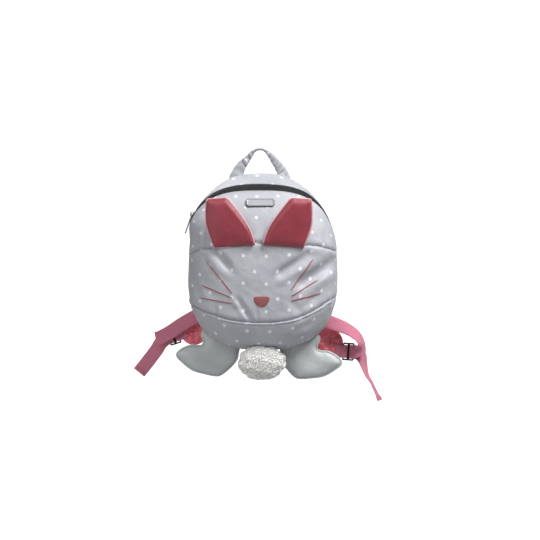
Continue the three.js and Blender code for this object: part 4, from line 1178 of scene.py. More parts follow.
@dataclass
class DottedBody:
    """Shell of dotted cloth: gusset, three front panels and the padded back panel."""

    zip: ZipOpening
    columns: int = 380
    rows: int = 118
    wall: float = 1.6
    lip: float = 0.7
    channel: float = 36.0
    # Where one dot of a panel is, seen from the front, and how its rows bend
    dots: dict = field(default_factory=lambda: {
        Panel.UPPER: (-4.8, -97.7, 0.0), Panel.FACE: (9.3, -153.0, 0.0016),
        Panel.LOWER: (13.7, -262.5, 0.003)})

    def front(self) -> dict[Panel, Draft]:
        """Drafts of the three front panels, cut along the seams of one fine net."""
        angle = math.tau * (np.arange(self.columns) + 0.5) / self.columns
        edge = self.zip.beside(angle, self.zip.width / 2)
        t = np.linspace(0, 1, self.rows)[:, None]
        station = np.clip(edge + (FRONT - edge) * t, 0, FRONT - 0.001)
        angles = np.broadcast_to(angle, station.shape)
        smooth = FORM.point(angles, station)
        out = FORM.normal(angles, station)
        x, z = smooth[..., 0], smooth[..., 2]
        rise = FORM.relief(x, z) * ease((station - edge) / 0.35)
        # A station is about 28 mm long beside the zip
        rim = (station - edge) * 28
        rise = rise + self.lip * bell((rim - 1.2) / 1.2)
        points = smooth + out * rise[..., None]
        steps = np.linalg.norm(np.diff(smooth, axis=0), axis=-1)
        arc = np.concatenate([np.cumsum(steps[::-1], 0)[::-1], np.zeros((1, self.columns))])
        ray = unit(np.stack([x - x[-1].mean(), z - z[-1].mean()], -1))
        cloth = ray * (arc + 1.3)[..., None]
        wrapped = np.concatenate([cloth, cloth[:, :1]], 1)
        ring = np.concatenate([smooth, smooth[:, :1]], 1)
        middle = corners(ring, 0).mean(2)[..., [0, 2]]
        upper = middle[..., 1] > FORM.seam(Panel.FACE, middle[..., 0])
        lower = middle[..., 1] < FORM.seam(Panel.LOWER, middle[..., 0])
        panels = {Panel.UPPER: upper, Panel.FACE: ~upper & ~lower, Panel.LOWER: lower}
        drafts = {}
        for panel, keep in panels.items():
            dot_x, dot_z, curve = self.dots[panel]
            near = np.unravel_index(np.argmin((x - dot_x) ** 2 + (z - dot_z) ** 2), x.shape)
            pulled = wrapped - np.array([0, 1]) * curve * wrapped[..., :1] ** 2
            draft = Draft()
            draft.add_grid(points, pulled - pulled[near], wrap=True, keep=keep)
            if panel is Panel.FACE:
                tip = (pulled - pulled[near])[-1:, :-1]
                draft.add(points[-1], [np.arange(self.columns)[None]], [tip])
            drafts[panel] = draft
        return drafts

    def gusset(self) -> Draft:
        """Side band from the back seam to the zip, with a rolled seam at the back."""
        draft = Draft()
        angle = -math.pi / 2 + math.tau * np.arange(361) / 360
        edge = self.zip.beside(angle, -self.zip.width / 2)
        t = np.linspace(0, 1, 40)[:, None]
        station = edge * t
        angles = np.broadcast_to(angle, station.shape)
        smooth = FORM.point(angles, station)
        out = FORM.normal(angles, station)
        along = run_of(smooth[20])
        steps = np.linalg.norm(np.diff(smooth, axis=0), axis=-1)
        depth = np.concatenate([np.zeros((1, 361)), np.cumsum(steps, 0)])
        wave = 0.35 * np.sin(along * 0.09 + 1.1 * np.sin(depth * 0.2)) * np.sin(depth * 0.12)
        pucker = 0.25 * np.sin(along * 0.9 + np.sin(along * 0.13)) * bell(depth / 5)
        roll = -0.9 * bell(depth / 1.6)
        lip = 0.6 * bell((depth[-1] - depth - 1.2) / 1.2)
        points = smooth + out * (wave + pucker + roll + lip)[..., None]
        cloth = np.stack([np.broadcast_to(along, depth.shape) - along[180] + 13, depth - 4], -1)
        draft.add_grid(points, cloth)
        return draft

    def back(self) -> Draft:
        """Padded back panel: crowned, with two sewn channels."""
        angle = math.tau * (np.arange(240) + 0.5) / 240
        rim = FORM.point(angle, np.zeros(240))[:, [0, 2]]
        outline = rim[::-1] if signed_area(rim) < 0 else rim
        flat, face, edge = FORM.back_seam + FORM.sewn_gap, FORM.back_face, 2.2

        def behind(x: Array, z: Array, d: Array) -> Array:
            """Rear face, rounded at its rim and pressed in at the channels."""
            channel = bell((np.abs(x) - self.channel) / 1.8) * ease((d - 6) / 8)
            soft = 0.25 * np.sin(x * 0.11) * np.sin(z * 0.07 + 1)
            return flat + edge + (face - flat - edge + soft) * dome(d / 9) - 1.9 * channel

        def before(x: Array, z: Array, d: Array) -> Array:
            """Flat inner face."""
            return flat + edge * (1 - np.clip(d / 2, 0, 1))

        draft = Draft()
        draft.add_pillow(outline, before, behind, 4.0, (1, 2.2, 3.6, 5.4, 7.5, 10))
        return draft

    def piping(self) -> Draft:
        """Cord piping in the seam between gusset and back panel."""
        draft = Draft()
        angle = math.tau * np.arange(300) / 300
        line = FORM.shell(angle, np.zeros(300), 0.3) + np.array([0, 1.2, 0])
        draft.add_tubes(line, AFT, 1.5, sides=10, closed=True)
        return draft

    def seam_fold(self) -> Draft:
        """Folded upper edge of the lowest panel, which catches the light."""
        draft = Draft()
        x = np.linspace(-101, 102, 260)
        z = FORM.seam(Panel.LOWER, x) - 2.2
        line, out = FORM.front(x, z, 0.5)
        draft.add_tubes(line, out, 1.35 + 0.15 * np.sin(x * 0.31), sides=10, flat=0.9)
        return draft

    def build(self, finishes: Finishes) -> None:
        """Build and dress the shell."""
        for panel, draft in self.front().items():
            piece = add_piece(f"{panel.value}_cloth", draft, finishes.dotted,
                              [panel.value], closed=False, outward=Vector((0, -1, 0)))
            self.thicken(piece)
        piece = add_piece("gusset_cloth", self.gusset(), finishes.dotted,
                          ["gusset"], closed=False)
        centre = Vector((0, -15, FORM.waist)) * MM
        if sum((face.center - centre).dot(face.normal) for face in piece.data.polygons) < 0:
            piece.data.flip_normals()
        self.thicken(piece)
        back = add_piece("back_panel_pad", self.back(), finishes.plain,
                         ["back_panel"])
        add_piece("back_piping", self.piping(), finishes.plain)
        add_piece("lower_seam_fold", self.seam_fold(), finishes.dotted)

    def thicken(self, piece: bpy.types.Object) -> None:
        """Give a cloth its wall, inwards."""
        solid = piece.modifiers.new("wall", "SOLIDIFY")
        solid.thickness = self.wall * MM
        solid.offset = -1


def signed_area(loop: Array) -> float:
    """Area of a loop in x and z, positive where it runs anticlockwise."""
    x, z = loop[:, 0], loop[:, 1]
    return float(0.5 * np.sum(x * np.roll(z, -1) - np.roll(x, -1) * z))


class HandleRow(NamedTuple):
    """Cross-section of the handle, in shares of half its span, of its rise and its width."""

    x: float
    z: float
    across: float
    through: float


HANDLE_LINE = (
    HandleRow(-1.06, -1.36, 0.95, 0.34), HandleRow(-1, -1.1, 0.95, 0.34),
    HandleRow(-0.77, -0.65, 0.76, 0.4), HandleRow(-0.5, -0.32, 0.5, 0.55),
    HandleRow(-0.26, -0.03, 0.27, 0.8), HandleRow(-0.02, 0.062, 0.21, 1),
    HandleRow(0.21, 0.005, 0.25, 0.95), HandleRow(0.42, -0.19, 0.42, 0.66),
    HandleRow(0.66, -0.5, 0.62, 0.46), HandleRow(0.9, -0.86, 0.8, 0.36),
    HandleRow(1, -1.12, 0.92, 0.34), HandleRow(1.04, -1.36, 0.95, 0.34),
)


@dataclass
class GrabHandle:
    """Grab handle: a folded tube of dotted cloth, drawn up to a point by its own weight."""

    span: float = 69.0
    width: float = 19.0
    # Rows of the line at which the cloth is creased, with the crease's depth
    creases: tuple = ((2.3, 1.0), (3.15, 0.9), (4.1, 0.8), (4.75, 0.8), (5.5, 0.8), (6.3, 0.9),
                      (7.25, 1.0), (8.2, 1.1), (8.75, 0.8))

    def tube(self) -> Draft:
        """Tube with slanting creases where the cloth is gathered."""
        draft = Draft()
        steps, sides = 180, 40
        t = np.linspace(0.55, len(HANDLE_LINE) - 1.55, steps)
        rows = between(HANDLE_LINE, t)
        middle = np.stack([rows[:, 0] * self.span / 2, np.zeros(steps),
                           rows[:, 1] * FORM.handle_rise], -1)
        way = unit(np.gradient(middle, axis=0))
        side = np.stack([-way[:, 2], np.zeros(steps), way[:, 0]], -1)
        turn = math.tau * np.arange(sides) / sides
        c, s = keep_sign(np.cos(turn), 0.8), keep_sign(np.sin(turn), 0.8)
        lift = np.zeros((steps, sides))
        for spot, depth in self.creases:
            q = (t[:, None] - spot + 0.16 * c[None] * math.copysign(1, spot - 5)) / 0.1
            lift -= depth * (1.7 * bell(q) - 0.8 * bell((q - 2.2) / 1.4))
        lift += 0.3 * np.sin(t[:, None] * 9 + 3 * np.sin(turn)[None])
        half_wide = rows[:, 2:3] * (self.width / 2 + lift * 0.6)
        half_deep = rows[:, 3:4] * self.width / 2 + lift
        net = (middle[:, None] + side[:, None] * (half_wide * c)[..., None]
               + AFT * (half_deep * s)[..., None])
        around = np.linspace(0, 2.4 * self.width, sides + 1)
        draft.add_grid(net, spread(around, run_of(middle) + 6), wrap=True, caps=True)
        return draft

    def build(self, finishes: Finishes) -> None:
        """Build and dress the handle."""
        handle = add_piece("handle_cloth", self.tube(), finishes.dotted, ["handle"])


class EarPoint(NamedTuple):
    """Corner of an ear in shares of its width and height, and the width of its bevel."""

    x: float
    z: float
    bevel: float


EAR_OUTLINE = (
    EarPoint(0, -0.025, 2.5), EarPoint(0.83, -0.085, 2.5), EarPoint(0.975, 0.34, 2.0),
    EarPoint(1, 0.6, 2.0), EarPoint(0.985, 0.885, 3.0), EarPoint(0.95, 0.935, 6.5),
    EarPoint(0.6, 0.96, 7.5), EarPoint(0.5, 0.88, 7.0), EarPoint(0.2, 0.47, 5.5),
    EarPoint(0.08, 0.23, 3.5),
)


@dataclass
class Ears:
    """Two padded ears sewn into the upper seam, with a flat face and folded edges."""

    width: float = 71.0
    height: float = 69.0
    pad: float = 9.0
    split: float = 11.0
    shift: float = -1.4
    lean: float = 3.0
    sewn_drop: float = 1.6
    rear: float = 0.42

    def ear(self, side: int) -> tuple[Draft, Draft]:
        """Ear and the pale pink tube round its open edges: a painted highlight along the rim."""
        inner = side * self.split / 2 + self.shift
        base = float(FORM.seam(Panel.FACE, inner)) - self.sewn_drop
        rows = np.array([(inner + side * p.x * self.width, base + p.z * self.height, p.bevel)
                         for p in EAR_OUTLINE])
        sharp = (0, 1, 5, 6)
        if side < 0:
            rows = rows[::-1]
            sharp = tuple(len(rows) - 1 - k for k in sharp)
        loop = smooth_loop(rows, 1.6, sharp)
        outline, bevels = loop[:, :2], loop[:, 2]
        outer = inner + side * 0.8 * self.width
        spots = np.array([inner, outer])
        depths = FORM.point(*FORM.place(spots, FORM.seam(Panel.FACE, spots)))[:, 1]
        across = (depths[1] - depths[0]) / (outer - inner)
        tilt = math.tan(math.radians(self.lean))

        def middle(x: Array, z: Array) -> Array:
            """Depth of the ear's middle."""
            return depths[0] + across * (x - inner) - (z - base) * tilt - self.pad * self.rear

        def bevel(x: Array, z: Array) -> Array:
            """Width of the bevel at the nearest edge."""
            away = np.stack([x, z], -1)[:, None] - outline
            return bevels[np.argmin((away**2).sum(-1), 1)]

        def front(x: Array, z: Array, d: Array) -> Array:
            """Flat face with folded edges, pinched into the seam at the bottom."""
            wide = bevel(x, z)
            rise = 1 - (1 - np.clip(d / wide, 0, 1)) ** 1.15
            seam = ease((z - FORM.seam(Panel.FACE, x) + 4) / 8)
            soft = 0.5 * np.sin(x * 0.09 + z * 0.05) * ease((d - 6) / 10)
            thick = self.pad * (0.5 + 0.18 * ease(d / 22)) * (0.55 + 0.45 * seam)
            return middle(x, z) - rise * thick - soft

        def back(x: Array, z: Array, d: Array) -> Array:
            """Rear of the ear."""
            return middle(x, z) + self.rear * self.pad * dome(d / 6)

        ear, edge = Draft(), Draft()
        ear.add_pillow(outline, front, back, 2.6, (0.6, 1.4, 2.4, 3.6, 5, 6.8))
        free = outline[:, 1] > FORM.seam(Panel.FACE, outline[:, 0]) - 1.5
        start = int(np.argmax(free & ~np.roll(free, 1)))
        order = np.roll(np.arange(len(outline)), -start)
        order = order[free[order]]
        rim = outline[order]
        line = np.stack([rim[:, 0], middle(rim[:, 0], rim[:, 1]) + 0.6, rim[:, 1]], -1)
        # Painted highlight: a pale tube on the rim stands for the light that the edge catches.
        edge.add_tubes(line, AFT, 1.15, sides=8)
        return ear, edge

    def build(self, finishes: Finishes) -> None:
        """Build and dress both ears."""
        for name, side in (("ear_left", -1), ("ear_right", 1)):
            ear, edge = self.ear(side)
            piece = add_piece(f"{name}_pad", ear, finishes.crimson, [name])
            # The pale rim tube is a painted highlight.
            add_piece(f"{name}_piping", edge, finishes.piping)


# Outline of a foot in shares of its length and height
FOOT_OUTLINE = (
    Place(0.02, 0.12), Place(0.035, -0.19), Place(0.11, -0.235),
    Place(0.21, -0.225), Place(0.34, -0.29), Place(0.445, -0.41), Place(0.45, -0.53),
    Place(0.37, -0.66), Place(0.21, -0.85), Place(0, -0.95), Place(-0.18, -1),
    Place(-0.28, -0.96), Place(-0.425, -0.78), Place(-0.52, -0.6),
    Place(-0.545, -0.43), Place(-0.57, -0.15), Place(-0.5, 0.1),
)


@dataclass
class Feet:
    """Two flat padded feet, toes outward, with a flat seam edge all round."""

    length: float = 91.0
    height: float = 60.0
    pad: float = 11.0
    seam: float = 3.2
    edge: float = 0.9
    # Name, side, the ankle's place in shares of the body's half width and drop, and turn
    sides: tuple = (("foot_left", -1, 0.735, -0.824, 0.0), ("foot_right", 1, 0.752, -0.88, -8.0))

    def foot(self, side: int, ankle: float, rise: float, turn: float) -> tuple[Draft, Draft]:
        """Foot and the row of stitches along its edge."""
        x0, z0 = ankle * FORM.half, FORM.waist + rise * FORM.belly_drop
        c, s = math.cos(math.radians(turn)), math.sin(math.radians(turn))
        rows = np.array([(side * (x0 + p.x * self.length * c - p.z * self.height * s),
                          z0 + p.x * self.length * s + p.z * self.height * c)
                         for p in FOOT_OUTLINE])
        if signed_area(rows) < 0:
            rows = rows[::-1]
        outline = smooth_loop(rows, 1.8)
        middle = float(FORM.point(np.array(1.5 * math.pi), np.array(ZIP))[1])
        ankle_x = side * (x0 - 0.2 * self.length)

        def thick(x: Array, z: Array, d: Array) -> Array:
            """Half the thickness: a flat seam edge, then a full pad."""
            full = dome((d - self.seam) / 15)
            ridge = 0.8 * bell(distance_to_line(
                x, z, ankle_x, z0 - 8, side * (x0 + 0.25 * self.length), z0 - 34) / 9)
            creased = 0.35 * np.sin(x * 0.33 * side + z * 0.21) * bell((d - 5) / math.sqrt(18))
            soft = 0.3 * np.sin(x * 0.13 + 1) * np.sin(z * 0.16)
            padded = self.pad / 2 - self.edge + soft + ridge + creased
            return self.edge * dome(d / 1.2) + padded * full

        foot, thread = Draft(), Draft()
        foot.add_pillow(outline, lambda x, z, d: middle - thick(x, z, d),
                        lambda x, z, d: middle + thick(x, z, d), 2.8,
                        (0.5, 1.2, 2.2, 3.2, 4, 5, 6.4, 8.2, 10.5))
        row = outline + inwards(outline) * (self.seam - self.edge)
        row = row[row[:, 1] < z0 - 2]
        gap = np.linalg.norm(np.diff(row, axis=0), axis=1)
        row = np.roll(row, -(int(np.argmax(gap)) + 1), 0) if gap.max() > 8 else row
        line = np.stack([row[:, 0], np.full(len(row), middle - 0.95), row[:, 1]], -1)
        thread.add_stitches(line, -AFT, length=2.3, pitch=3.1, radius=0.28)
        return foot, thread

    def build(self, finishes: Finishes) -> None:
        """Build and dress both feet."""
        for name, *facts in self.sides:
            foot, thread = self.foot(*facts)
            piece = add_piece(f"{name}_pad", foot, finishes.plain, [name])
            add_piece(f"{name}_stitching", thread, finishes.grey_thread)


@dataclass
class Pompom:
    """Fleece tail: a head covered all over with short curls."""

    width: float = 70.0
    height: float = 51.0
    depth: float = 38.0
    tuck: float = 7.0
    shift: float = 2.6
    curls: int = 3100
    curl_radius: float = 1.5
    yarn: float = 0.5
    lump: float = 0.05
    pile: float = 2.3

    @property
    def radii(self) -> Array:
        """Half the sizes of the head under the curls."""
        return np.array([self.width, self.depth, self.height]) / 2 - self.pile

    def uneven(self, way: Array) -> Array:
        """How far the clumps of the pile stand out in a direction."""
        x, y, z = np.moveaxis(way, -1, 0)
        broad = np.sin(6.1 * x + 3.0 * z + 0.6) * np.sin(7.3 * z - 2.2 * x + 1.1)
        fine = np.sin(13 * x + 5 * y) * np.sin(11 * z + 4 * y + 2)
        return 1 + self.lump * (broad + 0.6 * fine)[..., None]

    def ceiling(self, places: Array) -> Array:
        """Height of the body's underside above a place."""
        station = np.linspace(1, FRONT - 0.01, 200)
        under = FORM.point(np.full(200, 1.5 * math.pi), station)
        return np.interp(-places[..., 1], -under[:, 1], under[:, 2])

    def build(self, finishes: Finishes) -> None:
        """Build and dress the tail."""
        draft = Draft()
        bottom = FORM.point(np.array(1.5 * math.pi), np.array(ZIP))
        middle = np.array([self.shift, bottom[1] - 0.62 * self.depth,
                           bottom[2] + self.tuck - self.height / 2])
        steps, sides = 40, 72
        lat = np.linspace(-math.pi / 2 + 0.04, math.pi / 2 - 0.04, steps)[:, None]
        lon = math.tau * np.arange(sides)[None] / sides
        ball = np.stack(np.broadcast_arrays(np.cos(lat) * np.cos(lon), np.cos(lat) * np.sin(lon),
                                            np.sin(lat)), -1)
        head = middle + ball * self.radii * self.uneven(ball) * 1.01
        head[..., 2] = np.minimum(head[..., 2], self.ceiling(head) - 0.6)
        draft.add_grid(head, np.zeros((steps, sides + 1, 2)), wrap=True, caps=True)
        random = np.random.default_rng(11)
        i = np.arange(self.curls)
        up = 1 - 2 * (i + 0.5) / self.curls
        around = i * math.pi * (3 - math.sqrt(5))
        flat = np.sqrt(1 - up**2)
        way = np.stack([flat * np.cos(around), flat * np.sin(around), up], -1)
        way = unit(way + random.normal(0, 0.06, way.shape))
        deep = random.uniform(0.95, 1.0, (self.curls, 1))
        root = middle + way * self.radii * self.uneven(way) * deep
        out = unit(way / self.radii)
        twist = unit(np.cross(out, random.normal(0, 1, out.shape)))
        side = np.cross(out, twist)
        size = self.curl_radius * random.uniform(0.75, 1.3, self.curls)
        turn = np.linspace(-0.5, 1.3, 6) * math.pi
        frames = ((out, 0.6 * (1 + np.sin(turn))), (side, np.cos(turn)), (twist, 0.35 * turn))
        paths = root[:, None] + sum(axis[:, None] * (size[:, None] * reach)[..., None]
                                    for axis, reach in frames)
        free = (paths[..., 2] < self.ceiling(paths) - 0.4).all(1)
        thick = self.yarn * np.array([0.8, 1.05, 1.15, 1.1, 0.9, 0.45])
        draft.add_tubes(paths[free], twist[free][:, None], thick, sides=5)
        tail = add_piece("tail_fleece", draft, finishes.fleece, ["tail"])


class WhiskerLine(NamedTuple):
    """Whisker from its outer end to its root, in millimetres seen from the front."""

    x1: float
    z1: float
    x2: float
    z2: float


WHISKERS = (
    WhiskerLine(-76.3, -161.8, -40.2, -206.6), WhiskerLine(-83.7, -195.2, -39.7, -213.7),
    WhiskerLine(-86.3, -213.3, -39.7, -221.6), WhiskerLine(76.7, -157.5, 44.1, -203.1),
    WhiskerLine(84.1, -187.8, 45.5, -211), WhiskerLine(87.6, -207.1, 45, -218.1),
)


@dataclass
class FaceTrim:
    """Whiskers and nose in embroidery, and the small blank plate."""

    nose_width: float = 23.2
    nose_height: float = 15.4
    nose_drop: float = 49.0
    nose_shift: float = 2.4
    plate_width: float = 39.5
    plate_height: float = 13.0
    plate_thick: float = 1.6
    plate_drop: float = 43.0

    def whiskers(self) -> Draft:
        """Lines of satin stitch, each with a slightly raised middle."""
        draft = Draft()
        for row in WHISKERS:
            t = np.linspace(0, 1, 60)
            x = row.x1 + (row.x2 - row.x1) * t
            z = row.z1 + (row.z2 - row.z1) * t
            line, out = FORM.front(x, z, 0.25)
            radius = 0.95 * np.minimum(1, 0.35 + 6 * np.minimum(t, 1 - t))
            radius = radius * (1 + 0.1 * np.sin(t * math.tau * 22))
            draft.add_tubes(line, out, radius, sides=8, flat=0.6)
        return draft

    def nose(self) -> Draft:
        """Rounded triangle of upright satin stitches."""
        w, h = self.nose_width / 2, self.nose_height
        half = [(0.72, 0), (1, -0.16), (0.88, -0.5), (0.5, -0.86)]
        shares = [(0, 0.02), *half, (0, -1), *((-x, z) for x, z in half[::-1])]
        rows = np.array(shares[::-1]) * (w, h)
        rows = rows + np.array([self.nose_shift, FORM.waist - self.nose_drop + h / 2])
        outline = smooth_loop(rows, 0.8)

        def cloth(x: Array, z: Array) -> Array:
            """Depth of the cloth under the nose."""
            return FORM.front(x, z)[0][:, 1]

        def front(x: Array, z: Array, d: Array) -> Array:
            """Raised stitches, 0.9 mm apart."""
            ridge = 0.12 * np.sin(x * math.tau / 0.9)
            return cloth(x, z) - 0.2 - (1 + ridge) * dome(d / 2.5)

        draft = Draft()
        draft.add_pillow(outline, front, lambda x, z, d: cloth(x, z) - 0.2 + 0.3 * np.minimum(d, 1),
                         0.45, (0.3, 0.7, 1.2, 1.8))
        return draft

    def plate(self) -> tuple[Draft, Draft]:
        """Blank plate with a raised border, and a dark ring round it that paints the shadow at its
        edge.
        """
        z0 = -FORM.handle_rise - self.plate_drop
        at, out = FORM.front(np.array([0.0]), np.array([z0]))
        out = out[0]
        right = np.array([1.0, 0, 0])
        up = unit(np.cross(out, right))
        up = -up if up[2] < 0 else up
        w, h = self.plate_width / 2, self.plate_height / 2
        outline = smooth_loop(round_box((-w, -h), (w, h), 0.3 * self.plate_height, 8), 1.2)

        def front(x: Array, z: Array, d: Array) -> Array:
            """Border that stands above the field."""
            border = ease(d / 0.5) - 0.35 * ease((d - 1.3) / 0.5)
            return -0.2 - border * (self.plate_thick - 0.2)

        plate, painted_shadow_ring = Draft(), Draft()
        plate.add_pillow(outline, front, lambda x, z, d: -0.2 + np.minimum(d, 1) * 1.4, 1.0,
                         (0.25, 0.5, 0.9, 1.3, 1.55, 1.8, 2.2))
        local = np.concatenate(plate.points)
        plate.points = [at[0] + local[:, :1] * right - local[:, 1:2] * out + local[:, 2:] * up]
        ring = at[0] + outline[:, :1] * 1.01 * right + outline[:, 1:] * 1.04 * up + 0.8 * out
        # Painted shadow: a dark ring round the plate.
        painted_shadow_ring.add_tubes(ring, out, 0.85, sides=8, closed=True)
        return plate, painted_shadow_ring

    def build(self, finishes: Finishes) -> None:
        """Build and dress the trim of the face."""
        add_piece("whiskers_embroidery", self.whiskers(), finishes.whisker)
        add_piece("nose_embroidery", self.nose(), finishes.whisker, ["nose"])
        plate, painted_shadow_ring = self.plate()
        add_piece("badge_plate", plate, finishes.plate, ["badge"])
        add_piece("badge_edging", painted_shadow_ring, finishes.rim)


class PadRow(NamedTuple):
    """Point of a pad's middle in shares of the reach, the height and the slack."""

    x: float
    z: float
    bow: float


class WebRow(NamedTuple):
    """Point of the webbing in shares of its reach, drop and width, and its directions."""

    out: float
    down: float
    back: float
    lean: float
    turn: float


PAD_TOP = (PadRow(0.25, 0.062, 0), PadRow(0.3, 0.16, 0.12), PadRow(0.42, 0.37, 0.86),
           PadRow(0.55, 0.56, 1))


@dataclass(frozen=True)
class StrapSide:
    """One shoulder strap: its pad's end, its loop of webbing and its free end."""

    name: str
    side: int
    pad_end: tuple
    seam: float
    rise: float
    swing: float
    tilt: float
    flip: int
    loop: tuple
    free: tuple


STRAPS = (
    StrapSide(
        "left", -1, (PadRow(0.69, 0.74, 0.9), PadRow(0.82, 0.846, 0.8), PadRow(0.96, 0.9, 0.78)),
        0.7, -0.517, -12, -18, 1,
        (WebRow(0, 0, 0, 28, 0), WebRow(0.14, 0.145, 0, 29, 0), WebRow(0.27, 0.29, 0.02, 31, 0),
         WebRow(0.525, 0.59, 0.04, 32, 0), WebRow(0.78, 0.93, 0.05, 30, 0),
         WebRow(0.98, 1.135, 0.12, 26, 1), WebRow(1.055, 1.155, 0.29, 22, 0),
         WebRow(0.985, 1.16, 0.46, 19, 0)),
        (WebRow(0.394, 0.148, 0.26, 28, 0), WebRow(0.51, 0.275, 0.34, 35, 0),
         WebRow(0.65, 0.4, 0.38, 41, 0), WebRow(0.83, 0.556, 0.38, 45, 0),
         WebRow(1.07, 0.753, 0.34, 45, 0))),
    StrapSide(
        "right", 1, (PadRow(0.7, 0.74, 0.9), PadRow(0.85, 0.875, 0.8), PadRow(1.01, 0.963, 0.78)),
        0.72, -0.619, -26, -4, -1,
        (WebRow(0, 0, 0, 11, 0), WebRow(0.165, 0.07, 0, 13, 0), WebRow(0.325, 0.17, 0.03, 15, 8),
         WebRow(0.557, 0.34, 0.1, 26, 24), WebRow(0.718, 0.489, 0.12, 45, 36),
         WebRow(0.844, 0.67, 0.15, 64, 44), WebRow(0.925, 0.86, 0.18, 82, 54),
         WebRow(0.96, 1.04, 0.22, 104, 58), WebRow(0.945, 1.22, 0.3, 142, 44),
         WebRow(0.894, 1.34, 0.42, 170, 12)),
        (WebRow(0.36, 0.055, 0.34, 16, 12), WebRow(0.44, 0.155, 0.46, 34, 34),
         WebRow(0.49, 0.29, 0.54, 48, 56), WebRow(0.58, 0.48, 0.58, 56, 74),
         WebRow(0.72, 0.635, 0.56, 57, 80), WebRow(0.84, 0.805, 0.52, 60, 79),
         WebRow(0.985, 1, 0.48, 62, 74))),
)


